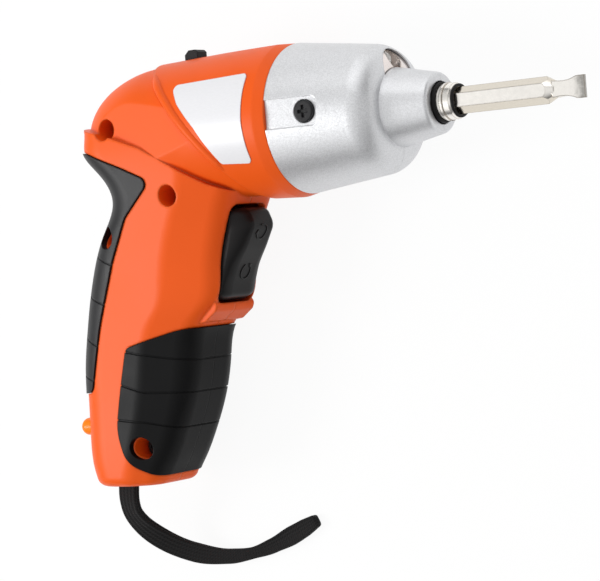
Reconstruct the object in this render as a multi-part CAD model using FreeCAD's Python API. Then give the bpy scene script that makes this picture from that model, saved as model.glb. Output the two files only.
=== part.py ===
import FreeCAD, Part
import math
import os

# Pistol-grip cordless screwdriver, millimetres
# X runs along the bit axis to its tip, Y is the tool's up, Z is its right side, z = 0 is the parting plane
# The origin is the mouth of the bit socket on the spindle axis
os.makedirs("parts", exist_ok=True)
V = FreeCAD.Vector

# Body
OVERRUN = 60.0
BODY_REACH = 127.0
HANDLE_DROP = 102.0
HANDLE_HALF_WIDTH = 15.5
WALL = 2.4
SEAM_PLAY = 0.15
STRAIGHT_DEGREES = 0.1
BARREL_RADIUS = 22.0
BARREL_REAR_RADIUS = 20.3
SADDLE_STEP = 0.9
FRONT_BEVEL_WIDTH = 3.6
FRONT_BEVEL_DROP = 0.8
HANDLE_FRONT_ROUND = 7.0
HANDLE_CREASE_ROUND = 9.0
HANDLE_REAR_ROUND = 12.0
HANDLE_BOTTOM_ROUND = 3.0
CHIN_HALF_WIDTH = 9.0
CHIN_ROUND = 1.6
RIB_THICKNESS = 1.6

# Nose
SPINDLE_PROTRUSION = 5.4
COLLAR_LENGTH = 13.2
COLLAR_ROOT_RADIUS = 11.0
COLLAR_TIP_RADIUS = 8.3
COLLAR_EDGE_ROUND = 1.2
COLLAR_LIP = 1.6
NOSE_LENGTH = 31.2
NOSE_FRONT_RADIUS = 17.3
NOSE_SHOULDER_ROUND = 7.2
NOSE_WALL = 2.2
SPIGOT_LENGTH = 3.0
SPIGOT_WALL = 1.4

# Lamp in the nose
LAMP_RADIUS = 2.5
LAMP_LENGTH = 8.0
LAMP_HEIGHT = 13.5
WINDOW_RADIUS = 6.8
WINDOW_HEIGHT = 9.6
LAMP_HOLDER_WALL = 0.9
LAMP_SET_BACK = 2.4
LAMP_ROOM = 8.4

# Gearbox
MODULE = 0.55
SUN_TEETH = 9
PLANET_TEETH = 18
RING_TEETH = 45
PLANET_COUNT = 3
TOOTH_PLAY = 0.14
ADDENDUM_SHARE = 0.8
DEDENDUM_SHARE = 1.15
PRESSURE_ANGLE = 20.0
PLANET_FACE = 5.5
PLANET_PIN_RADIUS = 1.5
PIN_PLAY = 0.04
CARRIER_THICKNESS = 2.4
CARRIER_RADIUS = 10.4
GEAR_GAP = 0.25
GEARBOX_WALL = 1.6
RING_RADIUS = 15.4
RING_BOSS_RADIUS = 2.8
PLATE_THICKNESS = 2.0
WASHER_THICKNESS = 0.5
WASHER_RADIUS = 7.4

# Spindle and bit
SPINDLE_RADIUS = 5.0
SPINDLE_CHAMFER = 0.5
SPINDLE_HOLE_PLAY = 0.9
CLIP_GROOVE_SET_BACK = 2.4
CLIP_WIDTH = 0.9
CLIP_DEPTH = 0.5
CLIP_GAP_WIDTH = 1.6
BUSH_RADIUS = 6.7
BUSH_PLAY = 0.03
BUSH_LENGTH = 11.0
HEX_ACROSS = 6.35
HEX_PLAY = 0.08
SOCKET_DEPTH = 11.4
SOCKET_MOUTH_RADIUS = 3.9
SOCKET_MOUTH_DEPTH = 0.9
MAGNET_RADIUS = 2.8
MAGNET_LENGTH = 3.0
BIT_LENGTH = 50.0
BIT_NECK_RADIUS = 2.2
BIT_NECK_LENGTH = 2.8
BLADE_LENGTH = 8.4
BLADE_HALF_WIDTH = 3.0
BLADE_HALF_THICKNESS = 0.45

# Motor
MOTOR_RADIUS = 13.8
MOTOR_LENGTH = 36.0
MOTOR_WALL = 1.2
MOTOR_EDGE_ROUND = 1.5
MOTOR_CAP_LENGTH = 4.0
MOTOR_CAP_RADIUS = 12.2
MOTOR_HUB_RADIUS = 4.5
MOTOR_HUB_LENGTH = 2.0
MOTOR_TAB_WIDTH = 3.0
MOTOR_TAB_THICKNESS = 0.6
MOTOR_TAB_LENGTH = 5.0
SHAFT_RADIUS = 1.15
SHAFT_PLAY = 0.05
SHAFT_STUB = 1.2
ARMATURE_RADIUS = 9.5
ARMATURE_LENGTH = 20.0
MAGNET_ARC_GAP = 0.6
SEAT_PLAY = 0.05

# Grips
GRIP_PROUD = 0.6
GRIP_POCKET = 1.2
GRIP_GAP = 0.2
GROOVE_WIDTH = 0.55
GROOVE_DEPTH = 0.35

# Trigger
ROCKER_HALF_WIDTH = 8.0
ROCKER_FRONT_HALF_WIDTH = 4.2
ROCKER_PLAY = 0.45
OPENING_ROUND = 2.5
ROCKER_PIN_RADIUS = 1.5
ROCKER_PIN_PLAY = 0.04
ROCKER_PIN_SEAT = 2.0
SWITCH_DEPTH = 9.0
SWITCH_HALF_HEIGHT = 10.0
SWITCH_HALF_WIDTH = 6.0
PLUNGER_RADIUS = 2.0
PLUNGER_TRAVEL_GAP = 0.7
PLUNGER_SPREAD = 7.0
PLUNGER_SEAT = 0.1

# Light switch on the barrel
SLIDER_LENGTH = 4.6
SLIDER_HALF_WIDTH = 2.2
SLIDER_PROUD = 1.3
SLIDER_SLOPE = 1.4
SLIDER_TRAVEL = 3.0
SLIDER_PLAY = 0.25
SLIDER_FOOT_THICKNESS = 1.4
SLIDER_FOOT_OVERLAP = 1.2
LIGHT_SWITCH_HEIGHT = 1.8

# Power
CELL_RADIUS = 9.1
CELL_LENGTH = 48.0
CELL_CAP_RADIUS = 3.0
CELL_CAP_HEIGHT = 1.2
CELL_EDGE_ROUND = 0.8
TAB_THICKNESS = 0.4
TAB_HALF_WIDTH = 3.0
BOARD_THICKNESS = 1.6
BOARD_HALF_WIDTH = 9.6
BOARD_RAIL = 1.2
BOARD_HEIGHT = 24.0
CHIP_THICKNESS = 1.4
CHIP_SIZE = 5.0
JACK_RADIUS = 4.0
JACK_BORE_RADIUS = 2.75
JACK_LENGTH = 7.0
JACK_FLOOR = 1.2
DOME_RADIUS = 2.6
DOME_PROUD = 2.4
DOME_SIDE = 8.0
DOME_SEAT = 4.0

# Screws
SCREW_HEAD_RADIUS = 2.75
SCREW_HEAD_HEIGHT = 2.0
SCREW_RADIUS = 1.45
SCREW_LENGTH = 14.0
SCREW_HOLE_PLAY = 0.06
SCREW_SEAT_Z = 6.0
RECESS_RADIUS = 3.15
BOSS_RADIUS = 4.1
CROSS_WIDTH = 0.9
CROSS_LENGTH = 3.4
CROSS_DEPTH = 1.2
NOSE_SCREW_HEAD_RADIUS = 3.1
NOSE_SCREW_HEAD_HEIGHT = 1.4
NOSE_SCREW_RADIUS = 1.4
NOSE_SCREW_LENGTH = 4.6
NOSE_FLAT_HALF_HEIGHT = 4.1
NOSE_FLAT_DEPTH = 0.9

# Label and strap
LABEL_THICKNESS = 0.2
LABEL_LIFT = 0.02
LABEL_CORNER = 1.4
STRAP_WIDTH = 6.6
STRAP_THICKNESS = 2.4
STRAP_EDGE_ROUND = 1.0
STRAP_HOLE_PLAY = 0.5
STRAP_PIN_RADIUS = 1.2
STRAP_PIN_HALF = 12.0
STRAP_PIN_RISE = 3.0
STRAP_STEPS = 27

# Places along the axis
x_collar = -SPINDLE_PROTRUSION
x_shoulder = x_collar - COLLAR_LENGTH
x_split = x_shoulder - NOSE_LENGTH
x_ring = x_shoulder - NOSE_WALL - LAMP_ROOM
x_washer = x_ring - GEARBOX_WALL
x_flange = x_washer - WASHER_THICKNESS - GEAR_GAP
x_planet_2 = x_flange - CARRIER_THICKNESS - GEAR_GAP
x_carrier_1 = x_planet_2 - PLANET_FACE - GEAR_GAP
x_planet_1 = x_carrier_1 - CARRIER_THICKNESS - GEAR_GAP
x_plate = x_planet_1 - PLANET_FACE - GEAR_GAP
x_motor = x_plate - PLATE_THICKNESS
x_motor_cap = x_motor - MOTOR_LENGTH
x_motor_end = x_motor_cap - MOTOR_CAP_LENGTH
sun_pitch = MODULE * SUN_TEETH / 2
planet_pitch = MODULE * PLANET_TEETH / 2
ring_pitch = MODULE * RING_TEETH / 2
planet_orbit = sun_pitch + planet_pitch

# Outlines as shares of the body's reach along -X and of the handle's drop along -Y
# Rows of the handle: drop, front, rear, width
handle_shares = [
    (-0.060, 0.520, 0.978, 1.187),
    (0.039, 0.520, 0.973, 1.187),
    (0.108, 0.520, 0.926, 1.174),
    (0.186, 0.557, 0.901, 1.135),
    (0.275, 0.588, 0.941, 1.084),
    (0.392, 0.612, 0.987, 1.032),
    (0.485, 0.631, 1.009, 1.015),
    (0.545, 0.682, 1.020, 1.006),
    (0.647, 0.710, 1.035, 1.000),
    (0.765, 0.736, 1.040, 1.000),
    (0.863, 0.772, 1.044, 0.987),
    (0.941, 0.808, 1.043, 0.962),
    (1.000, 0.834, 1.032, 0.935),
]
crease_share = 0.35
front_width_share = 0.68
rear_width_share = 0.97
hump_shares = [
    (0.780, 1.000), (0.822, 0.970), (0.860, 0.908), (0.899, 0.810), (0.935, 0.675), (0.961, 0.530),
    (0.980, 0.365), (0.990, 0.190), (0.993, 0),
]
saddle_width_shares = [
    (0.100, 1.100), (0.400, 1.000), (0.620, 0.895), (0.700, 0.838), (0.800, 0.764), (0.980, 0.655),
    (1.020, 0.632),
]
line_shares = [
    (0.775, -0.205), (0.672, -0.072), (0.609, 0.019), (0.568, 0.080), (0.507, 0.184), (0.480, 0.230),
]
ledge_shares = [
    (1.060, -0.050), (0.990, -0.042), (0.880, -0.010), (0.766, 0.040), (0.684, 0.096), (0.604, 0.157),
    (0.500, 0.212),
]
chin_shares = [(0.800, 0.470), (0.642, 0.480), (0.631, 0.496), (0.638, 0.514), (0.668, 0.541), (0.800, 0.560)]
# Grip outlines, with each corner's radius as a share of the handle's half width
rear_grip_shares = [
    (1.120, 0.022, 0), (0.930, 0.038, 1.29), (0.820, 0.093, 1.94), (0.744, 0.136, 0.13), (0.828, 0.232, 0.58),
    (0.882, 0.356, 2.58), (0.938, 0.536, 3.87), (0.978, 0.722, 0.16), (1.120, 0.740, 0),
]
front_grip_shares = [
    (0.600, 0.556, 0), (0.720, 0.557, 1.94), (0.863, 0.602, 0.16), (0.885, 0.705, 3.87), (0.909, 0.835, 1.03),
    (0.890, 0.930, 0.645), (0.830, 0.973, 0.516), (0.600, 0.968, 0),
]
rear_groove_shares = [
    [(0.860, 0.372), (1.120, 0.250)],
    [(0.900, 0.480), (1.120, 0.385)],
    [(0.930, 0.600), (1.120, 0.505)],
    [(0.950, 0.696), (1.120, 0.640)],
]
front_groove_shares = [
    [(0.900, 0.602), (0.762, 0.635), (0.600, 0.664)],
    [(0.920, 0.692), (0.819, 0.730), (0.600, 0.744)],
    [(0.930, 0.800), (0.829, 0.815), (0.600, 0.880)],
]
screw_shares = [(0.868, -0.022), (0.697, 0.180), (0.897, 0.283), (0.849, 0.889)]
# Rocker outline at its middle and at its sides, with each corner's radius as a share of its half width
rocker_shares = [
    (0.562, 0.230), (0.548, 0.240), (0.534, 0.280), (0.562, 0.340), (0.592, 0.392), (0.610, 0.440),
    (0.617, 0.474), (0.640, 0.486), (0.676, 0.470), (0.676, 0.240), (0.610, 0.227),
]
rocker_side_shares = [
    (0.596, 0.242), (0.586, 0.252), (0.582, 0.288), (0.594, 0.340), (0.609, 0.392), (0.619, 0.440),
    (0.625, 0.462), (0.642, 0.473), (0.676, 0.464), (0.676, 0.250), (0.615, 0.239),
]
rocker_round_shares = (0.25, 0.30, 0.45, 2.50, 2.50, 2.00, 0.25, 0.15, 0.15, 0.15, 0.15)
rocker_bow_shares = [(0, 0), (0.45, 0.16), (0.80, 0.50), (1.00, 1.00)]
opening_shares = (0.715, 0.2186, 0.492)
rocker_pivot_shares = (0.645, 0.343)
label_shares = [
    (0.660, -0.122), (0.446, -0.130), (0.450, 0.004), (0.446, 0.116), (0.530, 0.110), (0.585, 0.004),
    (0.634, -0.067),
]
cell_foot_shares = (0.940, 0.838)
cell_head_shares = (0.888, 0.375)
board_shares = (0.822, 0.590)
board_rail_shares = (0.35, 0.55)
slider_share = 0.690
nose_screw_shares = (0.298, -0.008)
dome_share = 0.826
jack_share = 0.900
strap_share = 0.988
blade_waist_share = 0.62
blade_mid_share = 0.45
motor_rib_shares = (0.2, 0.7)
cell_rib_shares = (0.15, 0.8)


# Helpers
def at(share_x, share_y):
    return (-BODY_REACH * share_x, -HANDLE_DROP * share_y)


def rounded(corners, place):
    edges = []
    ends = []
    count = len(corners)
    for i in range(count):
        p = V(corners[i][0], corners[i][1], 0)
        a = V(corners[i - 1][0], corners[i - 1][1], 0)
        b = V(corners[(i + 1) % count][0], corners[(i + 1) % count][1], 0)
        radius = corners[i][2] if len(corners[i]) > 2 else 0
        u = (a - p).normalize()
        w = (b - p).normalize()
        half = u.getAngle(w) / 2
        if radius <= 0 or half > math.pi / 2 - math.radians(STRAIGHT_DEGREES):
            ends.append((p, None, p))
            continue
        reach = radius / math.tan(half)
        bis = (u + w).normalize()
        mid = p + bis * (radius / math.sin(half) - radius)
        ends.append((p + u * reach, mid, p + w * reach))
    for i in range(count):
        start, mid, end = ends[i]
        if mid is not None:
            arc = Part.Arc(place(start.x, start.y), place(mid.x, mid.y), place(end.x, end.y))
            edges.append(arc.toShape())
        after = ends[(i + 1) % count][0]
        edges.append(Part.makeLine(place(end.x, end.y), place(after.x, after.y)))
    return Part.Wire(edges)


def prism_z(corners, z0, z1):
    wire = rounded(corners, lambda u, v: V(u, v, z0))
    return Part.Face(wire).extrude(V(0, 0, z1 - z0))


def prism_y(corners, y0, y1):
    wire = rounded(corners, lambda u, v: V(u, y0, v))
    return Part.Face(wire).extrude(V(0, y1 - y0, 0))


def turned(corners):
    wire = rounded(corners, lambda u, v: V(u, v, 0))
    return Part.Face(wire).revolve(V(0, 0, 0), V(1, 0, 0), 360)


def rod_x(x0, x1, radius, y=0, z=0):
    return Part.makeCylinder(radius, x1 - x0, V(x0, y, z), V(1, 0, 0))


def rod_z(x, y, z0, z1, radius):
    return Part.makeCylinder(radius, z1 - z0, V(x, y, z0), V(0, 0, 1))


def tube_x(x0, x1, outer, inner, y=0, z=0):
    return rod_x(x0, x1, outer, y, z).cut(rod_x(x0 - OVERRUN, x1 + OVERRUN, inner, y, z))


def block(x0, x1, y0, y1, z0, z1):
    return Part.makeBox(x1 - x0, y1 - y0, z1 - z0, V(x0, y0, z0))


def joined(shapes):
    whole = shapes[0]
    for shape in shapes[1:]:
        whole = whole.fuse(shape)
    return whole.removeSplitter()


def mirrored(shape):
    return shape.mirror(V(0, 0, 0), V(0, 0, 1))


def strip(points, width):
    half = width / 2
    upper = [(x, y + half) for x, y in points]
    lower = [(x, y - half) for x, y in reversed(points)]
    return upper + lower


def save(name, shape):
    solids = shape.Solids
    result = solids[0] if len(solids) == 1 else Part.makeCompound(solids)
    result.exportStep("parts/" + name + ".step")


right_space = block(-BODY_REACH - OVERRUN, OVERRUN, -HANDLE_DROP - OVERRUN, OVERRUN, 0, OVERRUN)


# Handle as a loft of level sections, grown or shrunk all round
def handle(grow):
    wires = []
    for drop, front, rear, width in handle_shares:
        x_front, y = at(front, drop)
        x_rear = at(rear, drop)[0]
        x_crease = x_front - crease_share * (x_front - x_rear)
        half = HANDLE_HALF_WIDTH * width
        corner_f = (x_front + grow, half * front_width_share + grow, HANDLE_FRONT_ROUND + grow)
        corner_c = (x_crease, half + grow, HANDLE_CREASE_ROUND + grow)
        corner_r = (x_rear - grow, half * rear_width_share + grow, HANDLE_REAR_ROUND + grow)
        ring = [corner_f, corner_c, corner_r]
        ring += [(x, -z, r) for x, z, r in reversed(ring)]
        level = y - grow if drop == 1.0 else y
        wires.append(rounded(ring, lambda u, v, level=level: V(u, level, v)))
    return Part.makeLoft(wires, True, False)


def with_round_bottom(solid, radius):
    lowest = solid.BoundBox.YMin
    foot = [f for f in solid.Faces if f.BoundBox.YMax < lowest + WALL / 2]
    return solid.makeFillet(radius, foot[0].Edges)


handle_outer = with_round_bottom(handle(0), HANDLE_BOTTOM_ROUND)
handle_inner = handle(-WALL)
handle_pocket = handle(-GRIP_POCKET)
handle_proud = handle(GRIP_PROUD)
handle_groove = handle(GRIP_PROUD - GROOVE_DEPTH)


# Barrel, saddle behind it and the ledge where the handle steps out
def barrel(inset):
    x_bevel = x_split - FRONT_BEVEL_WIDTH
    x_front = x_split if inset == 0 else x_split + OVERRUN
    front_radius = BARREL_RADIUS - FRONT_BEVEL_DROP - inset
    return turned([
        (x_front, 0), (x_front, front_radius), (x_bevel, BARREL_RADIUS - inset),
        (at(hump_shares[0][0], 0)[0], BARREL_REAR_RADIUS - inset), (at(hump_shares[0][0], 0)[0], 0),
    ])


def hump(inset):
    points = []
    for reach, rise in hump_shares:
        radius = max(BARREL_REAR_RADIUS * rise - inset, 0) if rise else 0
        points.append(V(at(reach, 0)[0] + inset * (1 - rise), radius, 0))
    curve = Part.BSplineCurve()
    curve.interpolate(points)
    x_front = x_split - FRONT_BEVEL_WIDTH
    start = V(x_front, BARREL_RADIUS - inset, 0)
    loop = [
        Part.makeLine(V(x_front, 0, 0), start),
        Part.makeLine(start, points[0]),
        curve.toShape(),
        Part.makeLine(points[-1], V(x_front, 0, 0)),
    ]
    return Part.Face(Part.Wire(loop)).revolve(V(0, 0, 0), V(1, 0, 0), 360)


def saddle_room(inset):
    side = [V(at(s, 0)[0], -OVERRUN, BARREL_RADIUS * w - inset) for s, w in saddle_width_shares]
    other = [V(p.x, p.y, -p.z) for p in reversed(side)]
    right = Part.BSplineCurve()
    right.interpolate(side)
    left = Part.BSplineCurve()
    left.interpolate(other)
    loop = [
        right.toShape(), Part.makeLine(side[-1], other[0]),
        left.toShape(), Part.makeLine(other[-1], side[0]),
    ]
    return Part.Face(Part.Wire(loop)).extrude(V(0, OVERRUN + OVERRUN, 0))


line_points = [at(*p) for p in line_shares]
ahead = [(OVERRUN, line_points[0][1])] + line_points + [(OVERRUN, line_points[-1][1])]
ledge_points = [at(*p) for p in ledge_shares]
ledge_room = ledge_points + [
    (ledge_points[-1][0], -HANDLE_DROP - OVERRUN),
    (ledge_points[0][0], -HANDLE_DROP - OVERRUN),
]
barrel_front = barrel(0).common(prism_z(ahead, -OVERRUN, OVERRUN))
saddle = hump(SADDLE_STEP).common(saddle_room(0))
grip_body = handle_outer.common(prism_z(ledge_room, -OVERRUN, OVERRUN))
chin_points = [at(*p) for p in chin_shares]
chin = prism_z([(x, y, CHIN_ROUND) for x, y in chin_points], -CHIN_HALF_WIDTH, CHIN_HALF_WIDTH)
outer = joined([barrel_front, saddle, grip_body, chin])
cavity_room = [(x, y - WALL) for x, y in ledge_points] + ledge_room[-2:]
handle_cavity = handle_inner.common(prism_z(cavity_room, -OVERRUN, OVERRUN))
barrel_cavity = barrel(WALL).common(saddle_room(WALL))
inner = joined([barrel_cavity, hump(SADDLE_STEP + WALL).common(saddle_room(WALL)), handle_cavity])
chin_core = chin.common(right_space)

# Rocker opening, slider slot, strap hole and grip pockets shared by both halves
# The opening's shares are its depth along -X, and its top and bottom along -Y
opening_half = ROCKER_HALF_WIDTH + ROCKER_PLAY
opening_depth, opening_top, opening_bottom = opening_shares
x_opening, y_high = at(opening_depth, opening_top)
y_low = at(0, opening_bottom)[1]
opening_corners = []
for y, z in ((y_high, 1), (y_high, -1), (y_low, -1), (y_low, 1)):
    opening_corners.append((y, z * opening_half, OPENING_ROUND))
opening_wire = rounded(opening_corners, lambda u, v: V(x_opening, u, v))
opening = Part.Face(opening_wire).extrude(V(OVERRUN, 0, 0))
pivot = at(*rocker_pivot_shares)
pin_half = opening_half + ROCKER_PIN_SEAT
pin_reach = pin_half + SEAM_PLAY
pin_hole = rod_z(*pivot, -pin_reach, pin_reach, ROCKER_PIN_RADIUS + SEAT_PLAY)
x_slider = at(slider_share, 0)[0]
slot_front = x_slider + SLIDER_LENGTH / 2 + SLIDER_TRAVEL + SLIDER_PLAY
slot_rear = x_slider - SLIDER_LENGTH / 2 - SLIDER_PLAY
slot = block(slot_rear, slot_front, BARREL_RADIUS / 2, BARREL_RADIUS + OVERRUN,
             -SLIDER_HALF_WIDTH - SLIDER_PLAY, SLIDER_HALF_WIDTH + SLIDER_PLAY)
x_strap = at(strap_share, 0)[0]
strap_hole = block(x_strap - STRAP_WIDTH / 2 - STRAP_HOLE_PLAY, x_strap + STRAP_WIDTH / 2 + STRAP_HOLE_PLAY,
                   -HANDLE_DROP - OVERRUN, -HANDLE_DROP + WALL + STRAP_PIN_RADIUS,
                   -STRAP_THICKNESS / 2 - STRAP_HOLE_PLAY, STRAP_THICKNESS / 2 + STRAP_HOLE_PLAY)


def grip_outline(shares, grow):
    corners = [at(x, y) + (HANDLE_HALF_WIDTH * r,) for x, y, r in shares]
    wire = rounded(corners, lambda u, v: V(u, v, -OVERRUN))
    if grow:
        wire = wire.makeOffset2D(grow)
    return Part.Face(wire).extrude(V(0, 0, OVERRUN + OVERRUN))


rear_room = grip_outline(rear_grip_shares, 0)
front_room = grip_outline(front_grip_shares, 0)
rear_pocket = grip_outline(rear_grip_shares, GRIP_GAP).cut(handle_pocket)
front_pocket = grip_outline(front_grip_shares, GRIP_GAP).cut(handle_pocket)

# Ribs that carry the motor and the cell
ribs = []
for share in motor_rib_shares:
    x = x_motor - MOTOR_LENGTH * share
    rib = tube_x(x - RIB_THICKNESS, x, BARREL_RADIUS, MOTOR_RADIUS + SEAT_PLAY)
    ribs.append(rib.common(inner))
cell_foot = V(*at(*cell_foot_shares), 0)
cell_head_way = V(*at(*cell_head_shares), 0) - cell_foot
cell_axis = V(cell_head_way).normalize()
cell_room = Part.makeCylinder(CELL_RADIUS + SEAT_PLAY, CELL_LENGTH, cell_foot, cell_axis)
for share in cell_rib_shares:
    spot = cell_foot + cell_axis * (CELL_LENGTH * share)
    slab = block(-BODY_REACH - OVERRUN, spot.x + CELL_RADIUS, spot.y, spot.y + RIB_THICKNESS,
                 -OVERRUN, OVERRUN)
    ribs.append(slab.common(handle_cavity).cut(cell_room))
rest_foot = cell_foot - cell_axis * (RIB_THICKNESS + TAB_THICKNESS)
cell_rest = Part.makeCylinder(CELL_RADIUS, RIB_THICKNESS, rest_foot, cell_axis)
ribs.append(cell_rest.common(handle_cavity))
x_board, y_board = at(*board_shares)
x_board_front = x_board + BOARD_THICKNESS
rail_low = y_board - BOARD_HEIGHT * board_rail_shares[1]
rail_high = y_board - BOARD_HEIGHT * board_rail_shares[0]
rail = block(x_board - BOARD_RAIL, x_board_front + BOARD_RAIL, rail_low, rail_high,
             BOARD_HALF_WIDTH - BOARD_RAIL, OVERRUN)
rail_slot = block(x_board - SEAT_PLAY, x_board_front + SEAT_PLAY, -HANDLE_DROP, 0,
                  0, BOARD_HALF_WIDTH + SEAT_PLAY)
ribs.append(rail.common(handle_cavity).cut(rail_slot))
x_rocker_back = at(max(x for x, y in rocker_shares), 0)[0]
x_switch = x_rocker_back - PLUNGER_TRAVEL_GAP - PLUNGER_RADIUS
rest_low = pivot[1] - SWITCH_HALF_HEIGHT / 2
rest_high = pivot[1] + SWITCH_HALF_HEIGHT / 2
switch_rest = block(x_switch - SWITCH_DEPTH, x_switch, rest_low, rest_high,
                    SWITCH_HALF_WIDTH + SEAT_PLAY, OVERRUN)
ribs.append(switch_rest.common(handle_cavity))
screw_places = [at(*p) for p in screw_shares]
shell = outer.cut(inner)
shell = joined([shell.common(right_space)] + [r.common(right_space) for r in ribs] + [chin_core])
pin_y = -HANDLE_DROP + WALL + STRAP_PIN_RISE
strap_seat = rod_z(x_strap, pin_y, 0, STRAP_PIN_HALF + SEAT_PLAY, STRAP_PIN_RADIUS + SEAT_PLAY)
for cut in (opening, pin_hole, slot, strap_hole, strap_seat, rear_pocket, front_pocket):
    shell = shell.cut(cut)

right_housing = shell
left_housing = mirrored(shell)
outer_right = outer.cut(rear_pocket).cut(front_pocket).common(right_space)
outer_left = mirrored(outer_right)
for x, y in screw_places:
    right_housing = right_housing.fuse(rod_z(x, y, 0, OVERRUN / 2, BOSS_RADIUS).common(outer_right))
    left_housing = left_housing.fuse(rod_z(x, y, -OVERRUN / 2, 0, BOSS_RADIUS).common(outer_left))
for x, y in screw_places:
    hole = SCREW_RADIUS + SCREW_HOLE_PLAY
    right_housing = right_housing.cut(rod_z(x, y, SCREW_SEAT_Z, OVERRUN, RECESS_RADIUS))
    right_housing = right_housing.cut(rod_z(x, y, -OVERRUN, OVERRUN, hole))
    left_housing = left_housing.cut(rod_z(x, y, SCREW_SEAT_Z - SCREW_LENGTH - SEAM_PLAY, OVERRUN, hole))

# Charge lamp dome on the right rear corner, charge jack in the foot
y_dome = at(0, dome_share)[1]
x_dome = at(handle_shares[9][2], 0)[0]
x_jack = at(jack_share, 0)[0]
dome_hole = rod_x(x_dome - OVERRUN, x_dome + DOME_SEAT, DOME_RADIUS + SEAT_PLAY, y_dome, DOME_SIDE)
jack_top = V(x_jack, -HANDLE_DROP + JACK_LENGTH, 0)
jack_hole = Part.makeCylinder(JACK_RADIUS + SEAT_PLAY, OVERRUN, jack_top, V(0, -1, 0))
right_housing = right_housing.cut(dome_hole).cut(jack_hole).removeSplitter()
left_housing = left_housing.cut(jack_hole).removeSplitter()
save("right_housing", right_housing)
save("left_housing", left_housing)

# Grips
rear_grip = handle_proud.cut(handle_pocket).common(rear_room).common(right_space)
front_grip = handle_proud.cut(handle_pocket).common(front_room).common(right_space)
skin = handle_proud.cut(handle_groove)
for line in rear_groove_shares:
    points = [at(*p) for p in line]
    rear_grip = rear_grip.cut(prism_z(strip(points, GROOVE_WIDTH), 0, OVERRUN).common(skin))
for line in front_groove_shares:
    points = [at(*p) for p in line]
    front_grip = front_grip.cut(prism_z(strip(points, GROOVE_WIDTH), 0, OVERRUN).common(skin))
rear_hole = rod_z(*screw_places[2], 0, OVERRUN, RECESS_RADIUS + GRIP_GAP)
front_hole = rod_z(*screw_places[3], 0, OVERRUN, RECESS_RADIUS + GRIP_GAP)
save("rear_grip_left", mirrored(rear_grip))
save("front_grip_left", mirrored(front_grip))
save("rear_grip_right", rear_grip.cut(rear_hole))
save("front_grip_right", front_grip.cut(front_hole))

# Nose halves
collar = turned([
    (x_shoulder - NOSE_WALL, 0), (x_shoulder - NOSE_WALL, COLLAR_ROOT_RADIUS),
    (x_shoulder, COLLAR_ROOT_RADIUS), (x_collar, COLLAR_TIP_RADIUS, COLLAR_EDGE_ROUND), (x_collar, 0),
])
nose_skin = turned([
    (x_split, 0), (x_split, BARREL_RADIUS - FRONT_BEVEL_DROP),
    (x_shoulder, NOSE_FRONT_RADIUS, NOSE_SHOULDER_ROUND), (x_shoulder, 0),
])
hollow_radius = BARREL_RADIUS - FRONT_BEVEL_DROP - NOSE_WALL
nose_hollow = turned([
    (x_split - OVERRUN, 0), (x_split - OVERRUN, hollow_radius), (x_split, hollow_radius),
    (x_shoulder - NOSE_WALL, NOSE_FRONT_RADIUS - NOSE_WALL, NOSE_SHOULDER_ROUND - NOSE_WALL),
    (x_shoulder - NOSE_WALL, 0),
])
spigot_radius = BARREL_RADIUS - FRONT_BEVEL_DROP - WALL - SEAM_PLAY
spigot = tube_x(x_split - SPIGOT_LENGTH, x_split + SPIGOT_LENGTH, spigot_radius, spigot_radius - SPIGOT_WALL)
bush_front = x_collar - COLLAR_LIP
bush_rear = bush_front - BUSH_LENGTH
window = rod_x(x_ring, OVERRUN, WINDOW_RADIUS, WINDOW_HEIGHT).cut(collar)
nose_screw_x, nose_screw_y = at(*nose_screw_shares)
nose_slope = (BARREL_RADIUS - FRONT_BEVEL_DROP - NOSE_FRONT_RADIUS) / NOSE_LENGTH
nose_radius_there = NOSE_FRONT_RADIUS + (x_shoulder - nose_screw_x) * nose_slope
z_flat = nose_radius_there - NOSE_FLAT_DEPTH
flat_room = prism_z([
    (x_split - OVERRUN, nose_screw_y - NOSE_FLAT_HALF_HEIGHT),
    (nose_screw_x + NOSE_FLAT_HALF_HEIGHT, nose_screw_y - NOSE_FLAT_HALF_HEIGHT, NOSE_FLAT_HALF_HEIGHT / 2),
    (nose_screw_x + NOSE_FLAT_HALF_HEIGHT, nose_screw_y + NOSE_FLAT_HALF_HEIGHT, NOSE_FLAT_HALF_HEIGHT / 2),
    (x_split - OVERRUN, nose_screw_y + NOSE_FLAT_HALF_HEIGHT),
], z_flat, OVERRUN)
flat_tilt = math.degrees(math.atan(nose_slope))
flat_room.rotate(V(nose_screw_x, nose_screw_y, z_flat), V(0, 1, 0), flat_tilt)
nose_half = nose_skin.cut(nose_hollow).common(right_space).cut(flat_room)
nose_ribs = []
for x in (x_ring - RIB_THICKNESS, x_plate + RIB_THICKNESS):
    rib = tube_x(x - RIB_THICKNESS, x, BARREL_RADIUS, RING_RADIUS + SEAT_PLAY)
    nose_ribs.append(rib.common(nose_hollow).common(right_space))
nose_half = joined([nose_half, collar.common(right_space), spigot.common(right_space)] + nose_ribs)
nose_half = nose_half.cut(rod_x(bush_rear, bush_front, BUSH_RADIUS + SEAT_PLAY))
nose_half = nose_half.cut(rod_x(x_shoulder - OVERRUN, OVERRUN, SPINDLE_RADIUS + SPINDLE_HOLE_PLAY))
nose_half = nose_half.cut(window)
z_nose_seat = z_flat - NOSE_SCREW_HEAD_HEIGHT / 2
nose_half = nose_half.cut(rod_z(nose_screw_x, nose_screw_y, 0, OVERRUN, NOSE_SCREW_RADIUS + SCREW_HOLE_PLAY))
head_room = rod_z(nose_screw_x, nose_screw_y, z_nose_seat, OVERRUN, NOSE_SCREW_HEAD_RADIUS + SEAM_PLAY)
nose_half = nose_half.cut(head_room).removeSplitter()
save("right_nose", nose_half)
save("left_nose", mirrored(nose_half))


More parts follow.
